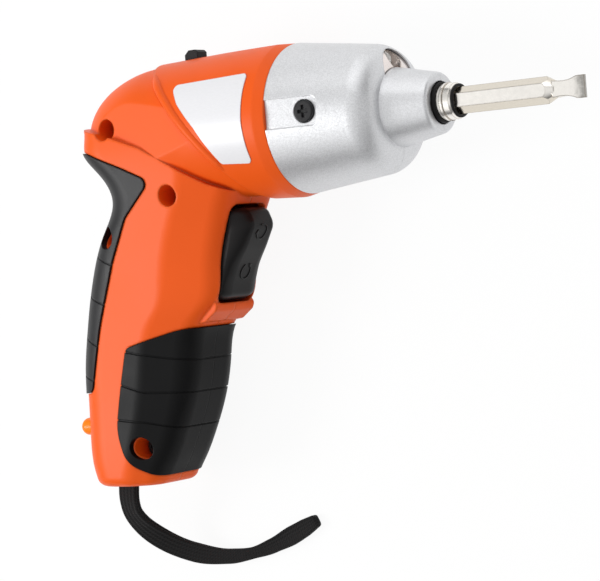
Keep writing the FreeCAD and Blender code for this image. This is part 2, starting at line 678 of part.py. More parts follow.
# Screws with a cross in the head
def screw(x, y, z_seat, head_radius, head_height, radius, length, cross_depth):
    top = z_seat + head_height
    body = rod_z(x, y, z_seat - length, z_seat + head_height / 2, radius)
    head = rod_z(x, y, z_seat, top, head_radius)
    rim = [e for e in head.Edges if e.BoundBox.ZMin > z_seat + head_height / 2]
    head = head.makeFillet(head_height / 4, rim)
    for u, v in ((CROSS_LENGTH / 2, CROSS_WIDTH / 2), (CROSS_WIDTH / 2, CROSS_LENGTH / 2)):
        head = head.cut(block(x - u, x + u, y - v, y + v, top - cross_depth, top + OVERRUN))
    return joined([body, head])


for number, (x, y) in enumerate(screw_places, 1):
    housing_screw = screw(x, y, SCREW_SEAT_Z, SCREW_HEAD_RADIUS, SCREW_HEAD_HEIGHT,
                          SCREW_RADIUS, SCREW_LENGTH, CROSS_DEPTH)
    save("housing_screw_%d" % number, housing_screw)
nose_screw = screw(nose_screw_x, nose_screw_y, z_nose_seat, NOSE_SCREW_HEAD_RADIUS, NOSE_SCREW_HEAD_HEIGHT,
                   NOSE_SCREW_RADIUS, NOSE_SCREW_LENGTH, NOSE_SCREW_HEAD_HEIGHT / 2)
save("nose_screw_right", nose_screw)
save("nose_screw_left", mirrored(nose_screw))


# Gears with arcs for flanks, a tooth centred on the phase
def gear_face(teeth, root, tip, play, phase, x):
    pitch = MODULE * teeth / 2
    pressure = math.radians(PRESSURE_ANGLE)
    base = pitch * math.cos(pressure)
    half_pitch = math.pi / teeth / 2 - play / pitch / 4

    def half_angle(radius):
        a = math.acos(min(1, base / max(radius, base)))
        return half_pitch + math.tan(pressure) - pressure - math.tan(a) + a

    def spot(radius, angle):
        return V(x, radius * math.cos(angle), radius * math.sin(angle))

    edges = []
    middle = (root + tip) / 2
    step = 2 * math.pi / teeth
    for i in range(teeth):
        c = phase + i * step
        low, mid, high = half_angle(root), half_angle(middle), half_angle(tip)
        edges.append(Part.Arc(spot(root, c - low), spot(middle, c - mid), spot(tip, c - high)).toShape())
        edges.append(Part.Arc(spot(tip, c - high), spot(tip, c), spot(tip, c + high)).toShape())
        edges.append(Part.Arc(spot(tip, c + high), spot(middle, c + mid), spot(root, c + low)).toShape())
        after = c + step - low
        valley = (c + low + after) / 2
        edges.append(Part.Arc(spot(root, c + low), spot(root, valley), spot(root, after)).toShape())
    return Part.Face(Part.Wire(edges))


def gear(teeth, root, tip, play, phase, x0, x1):
    return gear_face(teeth, root, tip, play, phase, x0).extrude(V(x1 - x0, 0, 0))


addendum = ADDENDUM_SHARE * MODULE
dedendum = DEDENDUM_SHARE * MODULE
angles = [2 * math.pi * i / PLANET_COUNT for i in range(PLANET_COUNT)]


def orbit(angle):
    return planet_orbit * math.cos(angle), planet_orbit * math.sin(angle)


ring_hole = gear(RING_TEETH, ring_pitch - addendum, ring_pitch + dedendum, -TOOTH_PLAY,
                 math.pi / RING_TEETH, x_plate - OVERRUN, x_washer)
ring = rod_x(x_plate, x_ring, RING_RADIUS)
boss_top = nose_radius_there - NOSE_WALL - NOSE_FLAT_DEPTH
for side in (1, -1):
    boss = Part.makeCylinder(RING_BOSS_RADIUS, boss_top, V(nose_screw_x, nose_screw_y, 0), V(0, 0, side))
    ring = ring.fuse(boss)
ring = ring.cut(ring_hole).cut(rod_x(x_plate - OVERRUN, OVERRUN, SPINDLE_RADIUS + SPINDLE_HOLE_PLAY))
screw_end = z_nose_seat - NOSE_SCREW_LENGTH - SEAM_PLAY
for side in (1, -1):
    hole_start = V(nose_screw_x, nose_screw_y, side * screw_end)
    hole = Part.makeCylinder(NOSE_SCREW_RADIUS + SCREW_HOLE_PLAY, OVERRUN, hole_start, V(0, 0, side))
    ring = ring.cut(hole)
save("ring_gear", ring.removeSplitter())

for stage, x_front in ((1, x_planet_1), (2, x_planet_2)):
    for name, angle in zip("abc", angles):
        y, z = orbit(angle)
        planet = gear(PLANET_TEETH, planet_pitch - dedendum, planet_pitch + addendum, TOOTH_PLAY,
                      angle + math.pi / PLANET_TEETH, x_front - PLANET_FACE, x_front)
        planet = planet.cut(rod_x(x_front - OVERRUN, x_front + OVERRUN, PLANET_PIN_RADIUS + PIN_PLAY))
        planet.translate(V(0, y, z))
        save("planet_%d%s" % (stage, name), planet)


def pins(x_front):
    x_end = x_front + GEAR_GAP + CARRIER_THICKNESS / 2
    return [rod_x(x_front - PLANET_FACE, x_end, PLANET_PIN_RADIUS, *orbit(a)) for a in angles]


def sun(x_rear, x_front):
    return gear(SUN_TEETH, sun_pitch - dedendum, sun_pitch + addendum, TOOTH_PLAY, 0, x_rear, x_front)


sun_2 = sun(x_carrier_1 - CARRIER_THICKNESS / 2, x_planet_2)
disc_1 = rod_x(x_carrier_1 - CARRIER_THICKNESS, x_carrier_1, CARRIER_RADIUS)
save("carrier_1", joined([disc_1, sun_2] + pins(x_planet_1)))

pinion = sun(x_plate, x_planet_1).cut(rod_x(x_plate - OVERRUN, OVERRUN, SHAFT_RADIUS + SEAT_PLAY))
save("motor_pinion", pinion)

# Spindle with its socket, the second carrier in one piece with it
spindle = turned([
    (x_flange - CARRIER_THICKNESS, 0), (x_flange - CARRIER_THICKNESS, CARRIER_RADIUS),
    (x_flange, CARRIER_RADIUS), (x_flange, SPINDLE_RADIUS), (-SPINDLE_CHAMFER, SPINDLE_RADIUS),
    (0, SPINDLE_RADIUS - SPINDLE_CHAMFER), (0, 0),
])
spindle = joined([spindle] + pins(x_planet_2))


def hexagon(x0, x1, across):
    corner = across / math.sqrt(3)
    points = []
    for i in range(7):
        angle = math.radians(60 * i)
        points.append(V(x0, corner * math.cos(angle), corner * math.sin(angle)))
    return Part.Face(Part.makePolygon(points)).extrude(V(x1 - x0, 0, 0))


socket = hexagon(-SOCKET_DEPTH - GEAR_GAP, OVERRUN, HEX_ACROSS + HEX_PLAY + HEX_PLAY)
x_magnet = -SOCKET_DEPTH - GEAR_GAP
spindle = spindle.cut(socket).cut(rod_x(-SOCKET_MOUTH_DEPTH, OVERRUN, SOCKET_MOUTH_RADIUS))
spindle = spindle.cut(rod_x(x_magnet - MAGNET_LENGTH - SEAM_PLAY, 0, MAGNET_RADIUS + SEAT_PLAY))
clip_front = -CLIP_GROOVE_SET_BACK
clip_rear = clip_front - CLIP_WIDTH
clip_floor = SPINDLE_RADIUS - CLIP_DEPTH
clip_groove = tube_x(clip_rear - SEAT_PLAY, clip_front + SEAT_PLAY, SPINDLE_RADIUS + CLIP_DEPTH, clip_floor)
save("spindle", spindle.cut(clip_groove).removeSplitter())
clip = tube_x(clip_rear, clip_front, SPINDLE_RADIUS + CLIP_DEPTH / 2, clip_floor + SEAT_PLAY)
clip = clip.cut(block(clip_rear - OVERRUN, OVERRUN, -OVERRUN, 0, -CLIP_GAP_WIDTH / 2, CLIP_GAP_WIDTH / 2))
save("spindle_clip", clip)
save("socket_magnet", rod_x(x_magnet - MAGNET_LENGTH, x_magnet, MAGNET_RADIUS))
save("spindle_bush", tube_x(bush_rear, bush_front, BUSH_RADIUS, SPINDLE_RADIUS + BUSH_PLAY))
washer_bore = SPINDLE_RADIUS + SPINDLE_HOLE_PLAY / 2
save("thrust_washer", tube_x(x_washer - WASHER_THICKNESS, x_washer, WASHER_RADIUS, washer_bore))

# Slotted bit
x_tip = BIT_LENGTH - SOCKET_DEPTH
x_blade = x_tip - BLADE_LENGTH
x_neck = x_blade - BIT_NECK_LENGTH
hex_corner = HEX_ACROSS / math.sqrt(3)
shank = hexagon(-SOCKET_DEPTH, x_blade, HEX_ACROSS).common(turned([
    (-SOCKET_DEPTH, 0), (-SOCKET_DEPTH, HEX_ACROSS / 2), (-SOCKET_DEPTH + SPINDLE_CHAMFER, hex_corner),
    (x_neck, hex_corner), (x_blade, BIT_NECK_RADIUS), (x_blade, 0),
]))
waist = x_blade + BLADE_LENGTH * blade_mid_share
flare = x_blade + BLADE_LENGTH * (1 + blade_mid_share) / 2
wide = [
    (x_blade - SPINDLE_CHAMFER, BIT_NECK_RADIUS), (waist, BLADE_HALF_WIDTH * blade_waist_share, BLADE_LENGTH),
    (flare, BLADE_HALF_WIDTH, BLADE_LENGTH / 4), (x_tip, BLADE_HALF_WIDTH),
]
thin = [
    (x_blade - SPINDLE_CHAMFER, BIT_NECK_RADIUS), (waist, 2 * BLADE_HALF_THICKNESS, BLADE_LENGTH / 2),
    (x_tip, BLADE_HALF_THICKNESS),
]


def both_sides(points):
    return points + [p[:1] + (-p[1],) + p[2:] for p in reversed(points)]


blade = prism_z(both_sides(wide), -BLADE_HALF_WIDTH, BLADE_HALF_WIDTH)
blade = blade.common(prism_y(both_sides(thin), -OVERRUN, OVERRUN))
save("slotted_bit", joined([shank, blade]))

# Motor
can = rod_x(x_motor_cap, x_motor, MOTOR_RADIUS)
can = can.makeFillet(MOTOR_EDGE_ROUND, [e for e in can.Edges if e.BoundBox.XMin > x_motor - MOTOR_WALL])
can = can.cut(rod_x(x_motor_cap - OVERRUN, x_motor - MOTOR_WALL, MOTOR_RADIUS - MOTOR_WALL))
can = can.cut(rod_x(x_motor_cap, OVERRUN, SHAFT_RADIUS + SHAFT_PLAY))
save("motor_can", can)
magnet_inner = ARMATURE_RADIUS + MAGNET_ARC_GAP
magnet_outer = MOTOR_RADIUS - MOTOR_WALL - SEAT_PLAY
field = tube_x(x_motor_cap + MOTOR_CAP_LENGTH, x_motor - MOTOR_CAP_LENGTH, magnet_outer, magnet_inner)
save("motor_magnet_upper", field.common(block(-BODY_REACH, 0, magnet_inner / 2, OVERRUN, -OVERRUN, OVERRUN)))
save("motor_magnet_lower", field.common(block(-BODY_REACH, 0, -OVERRUN, -magnet_inner / 2, -OVERRUN, OVERRUN)))
cap_parts = [
    rod_x(x_motor_end, x_motor_cap, MOTOR_CAP_RADIUS),
    rod_x(x_motor_cap, x_motor_cap + MOTOR_CAP_LENGTH / 2, magnet_outer),
    rod_x(x_motor_end - MOTOR_HUB_LENGTH, x_motor_end, MOTOR_HUB_RADIUS),
]
for side in (1, -1):
    z = side * MOTOR_CAP_RADIUS / 2
    cap_parts.append(block(x_motor_end - MOTOR_TAB_LENGTH, x_motor_end + MOTOR_TAB_THICKNESS,
                           -MOTOR_TAB_WIDTH / 2, MOTOR_TAB_WIDTH / 2, z, z + MOTOR_TAB_THICKNESS))
shaft_hole = rod_x(x_motor_end - OVERRUN, OVERRUN, SHAFT_RADIUS + SHAFT_PLAY)
save("motor_end_cap", joined(cap_parts).cut(shaft_hole))
core_mid = (x_motor + x_motor_cap) / 2
rotor = joined([
    rod_x(x_motor_end - MOTOR_HUB_LENGTH - SHAFT_STUB, x_planet_1, SHAFT_RADIUS),
    rod_x(core_mid - ARMATURE_LENGTH / 2, core_mid + ARMATURE_LENGTH / 2, ARMATURE_RADIUS),
    rod_x(x_motor_cap + MOTOR_CAP_LENGTH, core_mid, ARMATURE_RADIUS / 2),
])
save("motor_rotor", rotor)
save("gearbox_plate", tube_x(x_motor, x_plate, RING_RADIUS, sun_pitch + addendum + SPINDLE_HOLE_PLAY))

# Lamp and its holder
x_lamp_tip = x_shoulder - LAMP_SET_BACK
x_lamp_foot = x_lamp_tip - LAMP_LENGTH + SEAM_PLAY
lamp = joined([
    rod_x(x_lamp_foot, x_lamp_tip - LAMP_RADIUS, LAMP_RADIUS, LAMP_HEIGHT),
    Part.makeSphere(LAMP_RADIUS, V(x_lamp_tip - LAMP_RADIUS, LAMP_HEIGHT, 0)),
])
save("lamp", lamp)
holder_radius = WINDOW_RADIUS - SEAM_PLAY
cup_radius = LAMP_RADIUS + LAMP_HOLDER_WALL / 2
holder_front = x_shoulder - SEAM_PLAY - SEAM_PLAY
holder = rod_x(x_lamp_foot, holder_front, holder_radius, WINDOW_HEIGHT)
cup_foot = V(x_lamp_tip - LAMP_RADIUS, LAMP_HEIGHT, 0)
cup_depth = holder_front - cup_foot.x
holder = holder.cut(Part.makeCone(LAMP_RADIUS + SEAT_PLAY, cup_radius, cup_depth, cup_foot, V(1, 0, 0)))
holder = holder.cut(rod_x(x_lamp_foot - OVERRUN, x_lamp_tip, LAMP_RADIUS + SEAT_PLAY, LAMP_HEIGHT))
room_radius = NOSE_FRONT_RADIUS - SEAM_PLAY
x_room = x_shoulder - SEAM_PLAY
shape_room = turned([
    (x_ring, 0), (x_ring, room_radius), (x_room, room_radius, NOSE_SHOULDER_ROUND), (x_room, 0),
])
collar_room = rod_x(x_ring - OVERRUN, OVERRUN, COLLAR_ROOT_RADIUS + SEAM_PLAY)
save("lamp_holder", holder.common(shape_room).cut(collar_room))


# Rocker with bowed sides, its pin, switch and plungers
def rocker_wire(width_share, side_share, side):
    corners = []
    for middle, outer_edge, turn in zip(rocker_shares, rocker_side_shares, rocker_round_shares):
        x0, y0 = at(*middle)
        x1, y1 = at(*outer_edge)
        spot = (x0 + (x1 - x0) * side_share, y0 + (y1 - y0) * side_share)
        corners.append(spot + (ROCKER_HALF_WIDTH * turn,))
    z = ROCKER_FRONT_HALF_WIDTH + (ROCKER_HALF_WIDTH - ROCKER_FRONT_HALF_WIDTH) * width_share
    return rounded(corners, lambda u, v: V(u, v, side * z))


rocker_face = Part.Face(rocker_wire(0, 0, -1))
rocker_parts = [rocker_face.extrude(V(0, 0, ROCKER_FRONT_HALF_WIDTH + ROCKER_FRONT_HALF_WIDTH))]
for side in (1, -1):
    bows = [rocker_wire(width_share, side_share, side) for width_share, side_share in rocker_bow_shares]
    rocker_parts.append(Part.makeLoft(bows, True, False))
rocker = joined(rocker_parts)
rocker = rocker.cut(rod_z(*pivot, -OVERRUN, OVERRUN, ROCKER_PIN_RADIUS + ROCKER_PIN_PLAY))
save("trigger_rocker", rocker)
save("rocker_pin", rod_z(*pivot, -pin_half, pin_half, ROCKER_PIN_RADIUS))
switch = block(x_switch - SWITCH_DEPTH, x_switch,
               pivot[1] - SWITCH_HALF_HEIGHT, pivot[1] + SWITCH_HALF_HEIGHT,
               -SWITCH_HALF_WIDTH, SWITCH_HALF_WIDTH)
for side in (1, -1):
    y = pivot[1] + side * PLUNGER_SPREAD
    switch = switch.cut(rod_x(x_switch - PLUNGER_RADIUS, OVERRUN, PLUNGER_RADIUS + SEAT_PLAY, y))
    plunger = rod_x(x_switch - PLUNGER_RADIUS + PLUNGER_SEAT, x_switch + PLUNGER_RADIUS, PLUNGER_RADIUS, y)
    save("plunger_upper" if side > 0 else "plunger_lower", plunger)
save("switch_body", switch)

# Light slider over its switch
y_foot = BARREL_REAR_RADIUS - WALL - 2 * SLIDER_PLAY
y_sole = y_foot - SLIDER_FOOT_THICKNESS
x0 = x_slider - SLIDER_LENGTH / 2
x1 = x_slider + SLIDER_LENGTH / 2
y_knob = BARREL_RADIUS + SLIDER_PROUD
foot_half = SLIDER_HALF_WIDTH + SLIDER_FOOT_OVERLAP / 2
knob = prism_z([
    (x0, y_sole), (x0, BARREL_RADIUS), (x0 + SLIDER_SLOPE, y_knob, SLIDER_SLOPE / 4),
    (x1 - SLIDER_SLOPE / 2, y_knob, SLIDER_SLOPE / 4), (x1, y_knob - SLIDER_SLOPE / 2), (x1, y_sole),
], -SLIDER_HALF_WIDTH, SLIDER_HALF_WIDTH)
foot = block(x0 - SLIDER_FOOT_OVERLAP, x1 + SLIDER_FOOT_OVERLAP, y_sole, y_foot, -foot_half, foot_half)
foot = foot.common(rod_x(x0 - OVERRUN, OVERRUN, BARREL_REAR_RADIUS - WALL - SLIDER_PLAY))
save("light_slider", joined([knob, foot]))
y_light = y_sole - SEAM_PLAY
save("light_switch", block(x0, x1 + SLIDER_TRAVEL, y_light - LIGHT_SWITCH_HEIGHT, y_light,
                           -SLIDER_HALF_WIDTH, SLIDER_HALF_WIDTH))

# Cell with contact tabs, control board
cell = Part.makeCylinder(CELL_RADIUS, CELL_LENGTH, cell_foot, cell_axis)
cell = cell.makeFillet(CELL_EDGE_ROUND, [e for e in cell.Edges if len(e.Vertexes) == 1])
cap_foot = cell_foot + cell_axis * (CELL_LENGTH - CELL_EDGE_ROUND)
cell = cell.fuse(Part.makeCylinder(CELL_CAP_RADIUS, CELL_EDGE_ROUND + CELL_CAP_HEIGHT, cap_foot, cell_axis))
save("battery_cell", cell)


def contact(spot):
    tab = block(-CELL_RADIUS / 2, CELL_RADIUS / 2, 0, TAB_THICKNESS, -TAB_HALF_WIDTH, TAB_HALF_WIDTH)
    tab.rotate(V(0, 0, 0), V(0, 0, 1), math.degrees(math.atan2(cell_axis.y, cell_axis.x)) - 90)
    tab.translate(spot)
    return tab


save("cell_tab_lower", contact(cell_foot - cell_axis * TAB_THICKNESS))
save("cell_tab_upper", contact(cell_foot + cell_axis * (CELL_LENGTH + CELL_CAP_HEIGHT)))
board = block(x_board, x_board_front, y_board - BOARD_HEIGHT, y_board, -BOARD_HALF_WIDTH, BOARD_HALF_WIDTH)
chip_half = CHIP_SIZE / 2
for row in range(3):
    y = y_board - BOARD_HEIGHT * (row + 1) / 4
    z = BOARD_HALF_WIDTH * (row - 1) / 2
    chip = block(x_board_front, x_board_front + CHIP_THICKNESS, y - chip_half, y + chip_half,
                 z - chip_half, z + chip_half)
    board = board.fuse(chip)
save("control_board", board)

# Charge lamp dome and charge jack
dome_foot = x_dome + DOME_SEAT
dome = joined([
    rod_x(x_dome - DOME_PROUD + DOME_RADIUS, dome_foot, DOME_RADIUS, y_dome, DOME_SIDE),
    Part.makeSphere(DOME_RADIUS, V(x_dome - DOME_PROUD + DOME_RADIUS, y_dome, DOME_SIDE)),
])
save("charge_lamp", dome)
jack_mouth = V(x_jack, -HANDLE_DROP, 0)
jack = Part.makeCylinder(JACK_RADIUS, JACK_LENGTH, jack_mouth, V(0, 1, 0))
jack_bore = Part.makeCylinder(JACK_BORE_RADIUS, JACK_LENGTH - JACK_FLOOR, jack_mouth, V(0, 1, 0))
save("charge_jack", jack.cut(jack_bore))

# Blank label on the right side of the barrel
label_room = prism_z([at(*p) + (LABEL_CORNER,) for p in label_shares], 0, OVERRUN)
label = barrel(-LABEL_LIFT - LABEL_THICKNESS).cut(barrel(-LABEL_LIFT)).common(label_room)
save("label", label)

# Wrist strap, a doubled band, and the pin that holds it
save("strap_pin", rod_z(x_strap, pin_y, -STRAP_PIN_HALF, STRAP_PIN_HALF, STRAP_PIN_RADIUS))
strap_route = [
    (x_strap, pin_y - STRAP_PIN_RADIUS - SEAT_PLAY, 0), (x_strap, -HANDLE_DROP, 0), (-127.2, -107.5, -1.4),
    (-128.2, -112.6, -4.2), (-126.4, -118.4, -9.2), (-120.0, -124.0, -14.6), (-110.4, -127.0, -18.0),
    (-99.0, -127.0, -19.6), (-86.3, -123.4, -20.2), (-72.6, -116.5, -20.3),
]
route_curve = Part.BSplineCurve()
route_curve.buildFromPoles([V(*p) for p in strap_route], False, 2)
half_width = STRAP_WIDTH / 2
half_thick = STRAP_THICKNESS / 2
band = [(s * half_width, t * half_thick, STRAP_EDGE_ROUND) for s, t in ((-1, -1), (1, -1), (1, 1), (-1, 1))]
route_start = route_curve.FirstParameter
route_end = route_curve.LastParameter
sections = []
for step in range(STRAP_STEPS + 1):
    place = route_start + (route_end - route_start) * step / STRAP_STEPS
    spot = route_curve.value(place)
    along = route_curve.tangent(place)[0]
    across = along.cross(V(0, 0, 1)).normalize()
    through = across.cross(along).normalize()
    sections.append(rounded(band, lambda u, v: spot + across * u + through * v))
strap = Part.makeLoft(sections, True, True)
print("strap length", route_curve.length(), "volume", strap.Volume)
save("wrist_strap", strap)
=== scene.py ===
import math

import bpy
from bpy.props import FloatProperty, FloatVectorProperty, IntProperty, PointerProperty
from mathutils import Matrix, Vector
from mathutils.bvhtree import BVHTree


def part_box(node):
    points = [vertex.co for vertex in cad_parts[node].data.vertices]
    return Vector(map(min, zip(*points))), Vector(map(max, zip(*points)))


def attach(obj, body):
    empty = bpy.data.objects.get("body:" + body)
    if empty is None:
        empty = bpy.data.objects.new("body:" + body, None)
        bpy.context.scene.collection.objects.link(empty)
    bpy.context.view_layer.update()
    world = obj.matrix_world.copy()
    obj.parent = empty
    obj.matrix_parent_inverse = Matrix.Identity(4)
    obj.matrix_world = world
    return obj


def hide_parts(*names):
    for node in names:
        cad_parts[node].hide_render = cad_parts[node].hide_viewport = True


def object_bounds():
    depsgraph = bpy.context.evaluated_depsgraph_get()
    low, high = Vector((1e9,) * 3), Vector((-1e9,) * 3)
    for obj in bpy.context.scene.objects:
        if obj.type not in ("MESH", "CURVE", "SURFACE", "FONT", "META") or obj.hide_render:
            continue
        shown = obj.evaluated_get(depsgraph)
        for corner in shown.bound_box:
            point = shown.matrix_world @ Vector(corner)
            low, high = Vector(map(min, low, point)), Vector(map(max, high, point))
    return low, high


bl_info = {
    "name": "Cordless screwdriver looks",
    "version": (1, 0, 0),
    "blender": (4, 5, 0),
    "location": "View3D > Sidebar > Screwdriver",
    "description": "Finishes, small trim, wrist strap and studio for a pistol-grip screwdriver",
    "category": "Object",
}

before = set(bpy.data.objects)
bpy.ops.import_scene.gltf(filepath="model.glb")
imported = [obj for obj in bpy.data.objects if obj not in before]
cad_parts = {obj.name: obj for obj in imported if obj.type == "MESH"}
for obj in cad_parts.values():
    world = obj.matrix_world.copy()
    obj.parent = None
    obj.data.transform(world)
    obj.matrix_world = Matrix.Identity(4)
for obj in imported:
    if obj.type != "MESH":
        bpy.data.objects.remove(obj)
cad_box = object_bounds()
MM = 0.001

# Middle line of the wrist strap, from its pin in the handle's foot to the fold at its far end
STRAP_ROUTE_MM = [
    (-125.5, -97.9, 0), (-125.5, -102.0, 0), (-127.2, -107.5, -1.4), (-128.2, -112.6, -4.2),
    (-126.4, -118.4, -9.2), (-120.0, -124.0, -14.6), (-110.4, -127.0, -18.0), (-99.0, -127.0, -19.6),
    (-86.3, -123.4, -20.2), (-72.6, -116.5, -20.3),
]
# The band's width along the strap, as shares of its length and of its full width
STRAP_WIDTHS = [
    (0.0, 1.0), (0.30, 1.0), (0.46, 0.90), (0.60, 0.68), (0.70, 0.54), (0.79, 0.68), (0.88, 0.84),
    (0.95, 0.77), (1.0, 0.58),
]
# How far the doubled band opens along its middle near the far end, as shares of its length and thickness
STRAP_OPENINGS = [(0.0, 0.0), (0.66, 0.0), (0.84, 0.34), (0.94, 0.20), (1.0, 0.0)]
# Turns at which the band's rounded end has its rows
STRAP_END_TURNS = [math.radians(angle) for angle in (30, 60, 80)]

# Where the barrel's rear edge runs down each side, along X and Y
RIDGE_MM = [(-97.2, 19.6), (-85.3, 7.3), (-77.3, -1.9), (-72.1, -8.2), (-67.0, -15.2)]

# Rubber rings on the spindle: first and last place along its axis, inner and outer radius
RINGS_MM = {
    "spindle_seal": (-6.6, -4.3, 4.95, 5.62),
    "mouth_ring": (-0.1, 0.7, 3.80, 4.62),
}

# Turning arrow on the trigger: where it starts, how far it runs round, and how long its head is
ARROW_START = math.radians(60)
ARROW_SWEEP = math.radians(285)
ARROW_HEAD = math.radians(32)
# How far up the trigger each arrow sits, and which way it turns
ARROWS = {"upper": (0.72, 1), "lower": (0.30, -1)}

# Tones of finishes: painted shade in creases, painted highlights and painted shade along edges, painted
# shade on the bit's sides and tip, and plain tones of the lamp and the switches
ORANGE_PAINTED_CREASE_SHADE = (0.58, 0.040, 0.003)
ORANGE_PAINTED_EDGE_HIGHLIGHT = (0.95, 0.27, 0.10)
LABEL_PAINTED_EDGE_SHADOW = (0.28, 0.14, 0.09)
METAL_PAINTED_EDGE_SHADE = (0.30, 0.24, 0.18)
BIT_PAINTED_EDGE_SHADE = (0.22, 0.18, 0.14)
BIT_PAINTED_SIDE_SHADE = (0.68, 0.62, 0.52)
BIT_PAINTED_TIP_SHADE = (0.33, 0.32, 0.30)
MIRROR_CUP = (0.84, 0.77, 0.74)
LAMP_GLASS = (0.93, 0.90, 0.87)
SWITCH_BLACK = (0.02, 0.02, 0.02)

# How often the fine lines in metal repeat along X, Y and Z: drawn along the axis, or turned round it
STREAK_ALONG = (1.0, 12.0, 12.0)
STREAK_AROUND = (12.0, 1.0, 1.0)

# Where the painted shade on the bit's tip begins and where it is darkest, along its axis
BIT_PAINTED_TIP_SHADE_MM = (36.6, 39.2)

# Finishes inside: tone, metal, roughness and the solids that have it
PLANETS = ["planet_%d%s" % (stage, name) for stage in (1, 2) for name in "abc"]
INSIDE = {
    "gear_steel": ((0.45, 0.45, 0.46), 1.0, 0.32, [
        "carrier_1", "gearbox_plate", "thrust_washer", "rocker_pin", "strap_pin", *PLANETS,
    ]),
    "plated_steel": ((0.58, 0.58, 0.57), 1.0, 0.25, ["motor_can", "motor_rotor"]),
    "nickel_strip": ((0.62, 0.59, 0.52), 1.0, 0.22, [
        "cell_tab_lower", "cell_tab_upper", "socket_magnet",
    ]),
    "sintered_bronze": ((0.55, 0.33, 0.13), 1.0, 0.42, ["motor_pinion"]),
    "ferrite": ((0.06, 0.06, 0.065), 0.0, 0.6, ["motor_magnet_upper", "motor_magnet_lower"]),
    "gearbox_nylon": ((0.09, 0.09, 0.10), 0.0, 0.45, ["ring_gear", "motor_end_cap"]),
    "board_lacquer": ((0.015, 0.14, 0.06), 0.0, 0.3, ["control_board"]),
    "cell_sleeve": ((0.03, 0.15, 0.38), 0.0, 0.28, ["battery_cell"]),
}

# Softboxes: place, what they face and width, in metres. The studio settings hold their power.
SOFTBOXES = {
    "key": ((0.0, 0.85, 0.34), (-0.06, -0.03, 0), 1.0),
    "rear": ((-0.69, -0.13, 0.57), (-0.11, -0.05, 0), 0.3),
    "side": ((-0.36, -0.55, 0.58), (-0.02, -0.02, 0), 0.5),
    "front": ((0.80, -0.02, 0.26), (0, 0, 0), 0.5),
}
FLOOR_REACH = 4.0
FLOOR_GAP_MM = 0.1
FLOOR_GREY = (0.9, 0.9, 0.9)
WHITE = (1.0, 1.0, 1.0)

# Camera of the photograph in the part's frame
CAMERA_SPOT_MM = (339.9, -36.2, 556.8)
CAMERA_RIGHT = (0.8124, -0.0784, -0.5778)
CAMERA_UP = (0.0538, 0.9968, -0.0597)
CAMERA_BACK = (0.5806, 0.0175, 0.8140)
CAMERA_LENS = 145.1
CAMERA_SENSOR = 36.0


# Properties
def colour(name, description, default):
    return FloatVectorProperty(
        name=name, description=description, default=default, subtype="COLOR", size=3, min=0, max=1,
    )


def length(name, description, default):
    return FloatProperty(
        name=name, description=description, default=default, min=0, unit="LENGTH", precision=5,
    )


def share(name, description, default):
    return FloatProperty(
        name=name, description=description, default=default, min=0, max=1, subtype="FACTOR",
    )


def power(name, description, default):
    return FloatProperty(name=name, description=description, default=default, min=0, unit="POWER")


def strength(name, description, default):
    return FloatProperty(name=name, description=description, default=default, min=0)


class ScrewdriverFinish(bpy.types.PropertyGroup):
    """Colours of the visible finishes"""

    orange: colour("Housing", "Moulded housing halves", (0.83, 0.102, 0.007))
    silver: colour("Nose", "Silver paint on the nose", (0.70, 0.705, 0.72))
    rubber: colour("Front grips", "Soft grips in front", (0.0038, 0.0038, 0.0041))
    # Painted light: the rear grips are the same rubber as the front grips, painted lighter for the light
    # that falls on them
    rear_rubber: colour(
        "Rear grips", "Soft grips behind, lighter to match the photograph", (0.0150, 0.0150, 0.0160),
    )
    trigger: colour("Trigger", "Rocker and light slider", (0.0070, 0.0064, 0.0066))
    label: colour("Label", "Blank label", (0.77, 0.77, 0.79))
    steel: colour("Bit", "Nickelled bit and spindle", (0.92, 0.89, 0.84))
    screw: colour("Screws", "Black screws", (0.018, 0.018, 0.019))
    amber: colour("Charge lamp", "Amber lens", (0.92, 0.23, 0.010))
    strap: colour("Strap", "Woven strap", (0.0055, 0.0051, 0.0053))


class ScrewdriverSizes(bpy.types.PropertyGroup):
    """Sizes of the details that the looks add"""

    edge_round: length("Edge round", "How far edges look rounded", 0.0004)
    housing_round: length("Housing round", "How far the housing's edges look rounded", 0.0010)
    ridge_radius: length("Ridge radius", "Round on the barrel's rear edge", 0.0014)
    crease_reach: length("Crease reach", "How far the shade in a crease spreads", 0.0030)
    strap_width: length("Strap width", "Width of the doubled band", 0.0066)
    strap_thickness: length("Strap thickness", "Thickness of the doubled band", 0.0024)
    strap_edge: length("Strap edge", "Round on each edge of a layer", 0.0005)
    strap_rib: length("Strap rib", "Height of the ribs along the band", 0.00007)
    strap_ribs: IntProperty(name="Strap ribs", description="Ribs across the band", default=5, min=1)
    arrow_radius: length("Arrow radius", "Radius of a turning arrow on the trigger", 0.0021)
    arrow_line: length("Arrow line", "Width of an arrow's line", 0.00045)
    arrow_height: length("Arrow height", "How far an arrow stands proud", 0.0002)


class ScrewdriverStudio(bpy.types.PropertyGroup):
    """Light and floor"""

    world: strength("World", "Strength of the light at the horizon", 0.05)
    zenith: strength("Zenith", "Strength of the light overhead", 0.95)
    key: power("Key", "Large softbox above the barrel", 3.4)
    rear: power("Rear", "Softbox behind the handle", 3.8)
    side: power("Side", "Softbox below the barrel", 0.4)
    front: power("Front", "Softbox beyond the bit", 0.35)
    floor: share("Floor white", "How white the floor looks to the camera", 0.93)


# Node trees
def tinted(tone, gain):
    return tuple(min(1.0, c * gain) for c in tone)


class Wire:
    """A shader socket with arithmetic"""

    def __init__(self, graph, socket):
        self.graph = graph
        self.socket = socket

    def sum(self, operation, first, second):
        return self.graph.node("ShaderNodeMath", {"operation": operation}, {0: first, 1: second})

    def __add__(self, other):
        return self.sum("ADD", self, other)

    def __radd__(self, other):
        return self.sum("ADD", other, self)

    def __rsub__(self, other):
        return self.sum("SUBTRACT", other, self)

    def __mul__(self, other):
        return self.sum("MULTIPLY", self, other)

    def __rmul__(self, other):
        return self.sum("MULTIPLY", other, self)


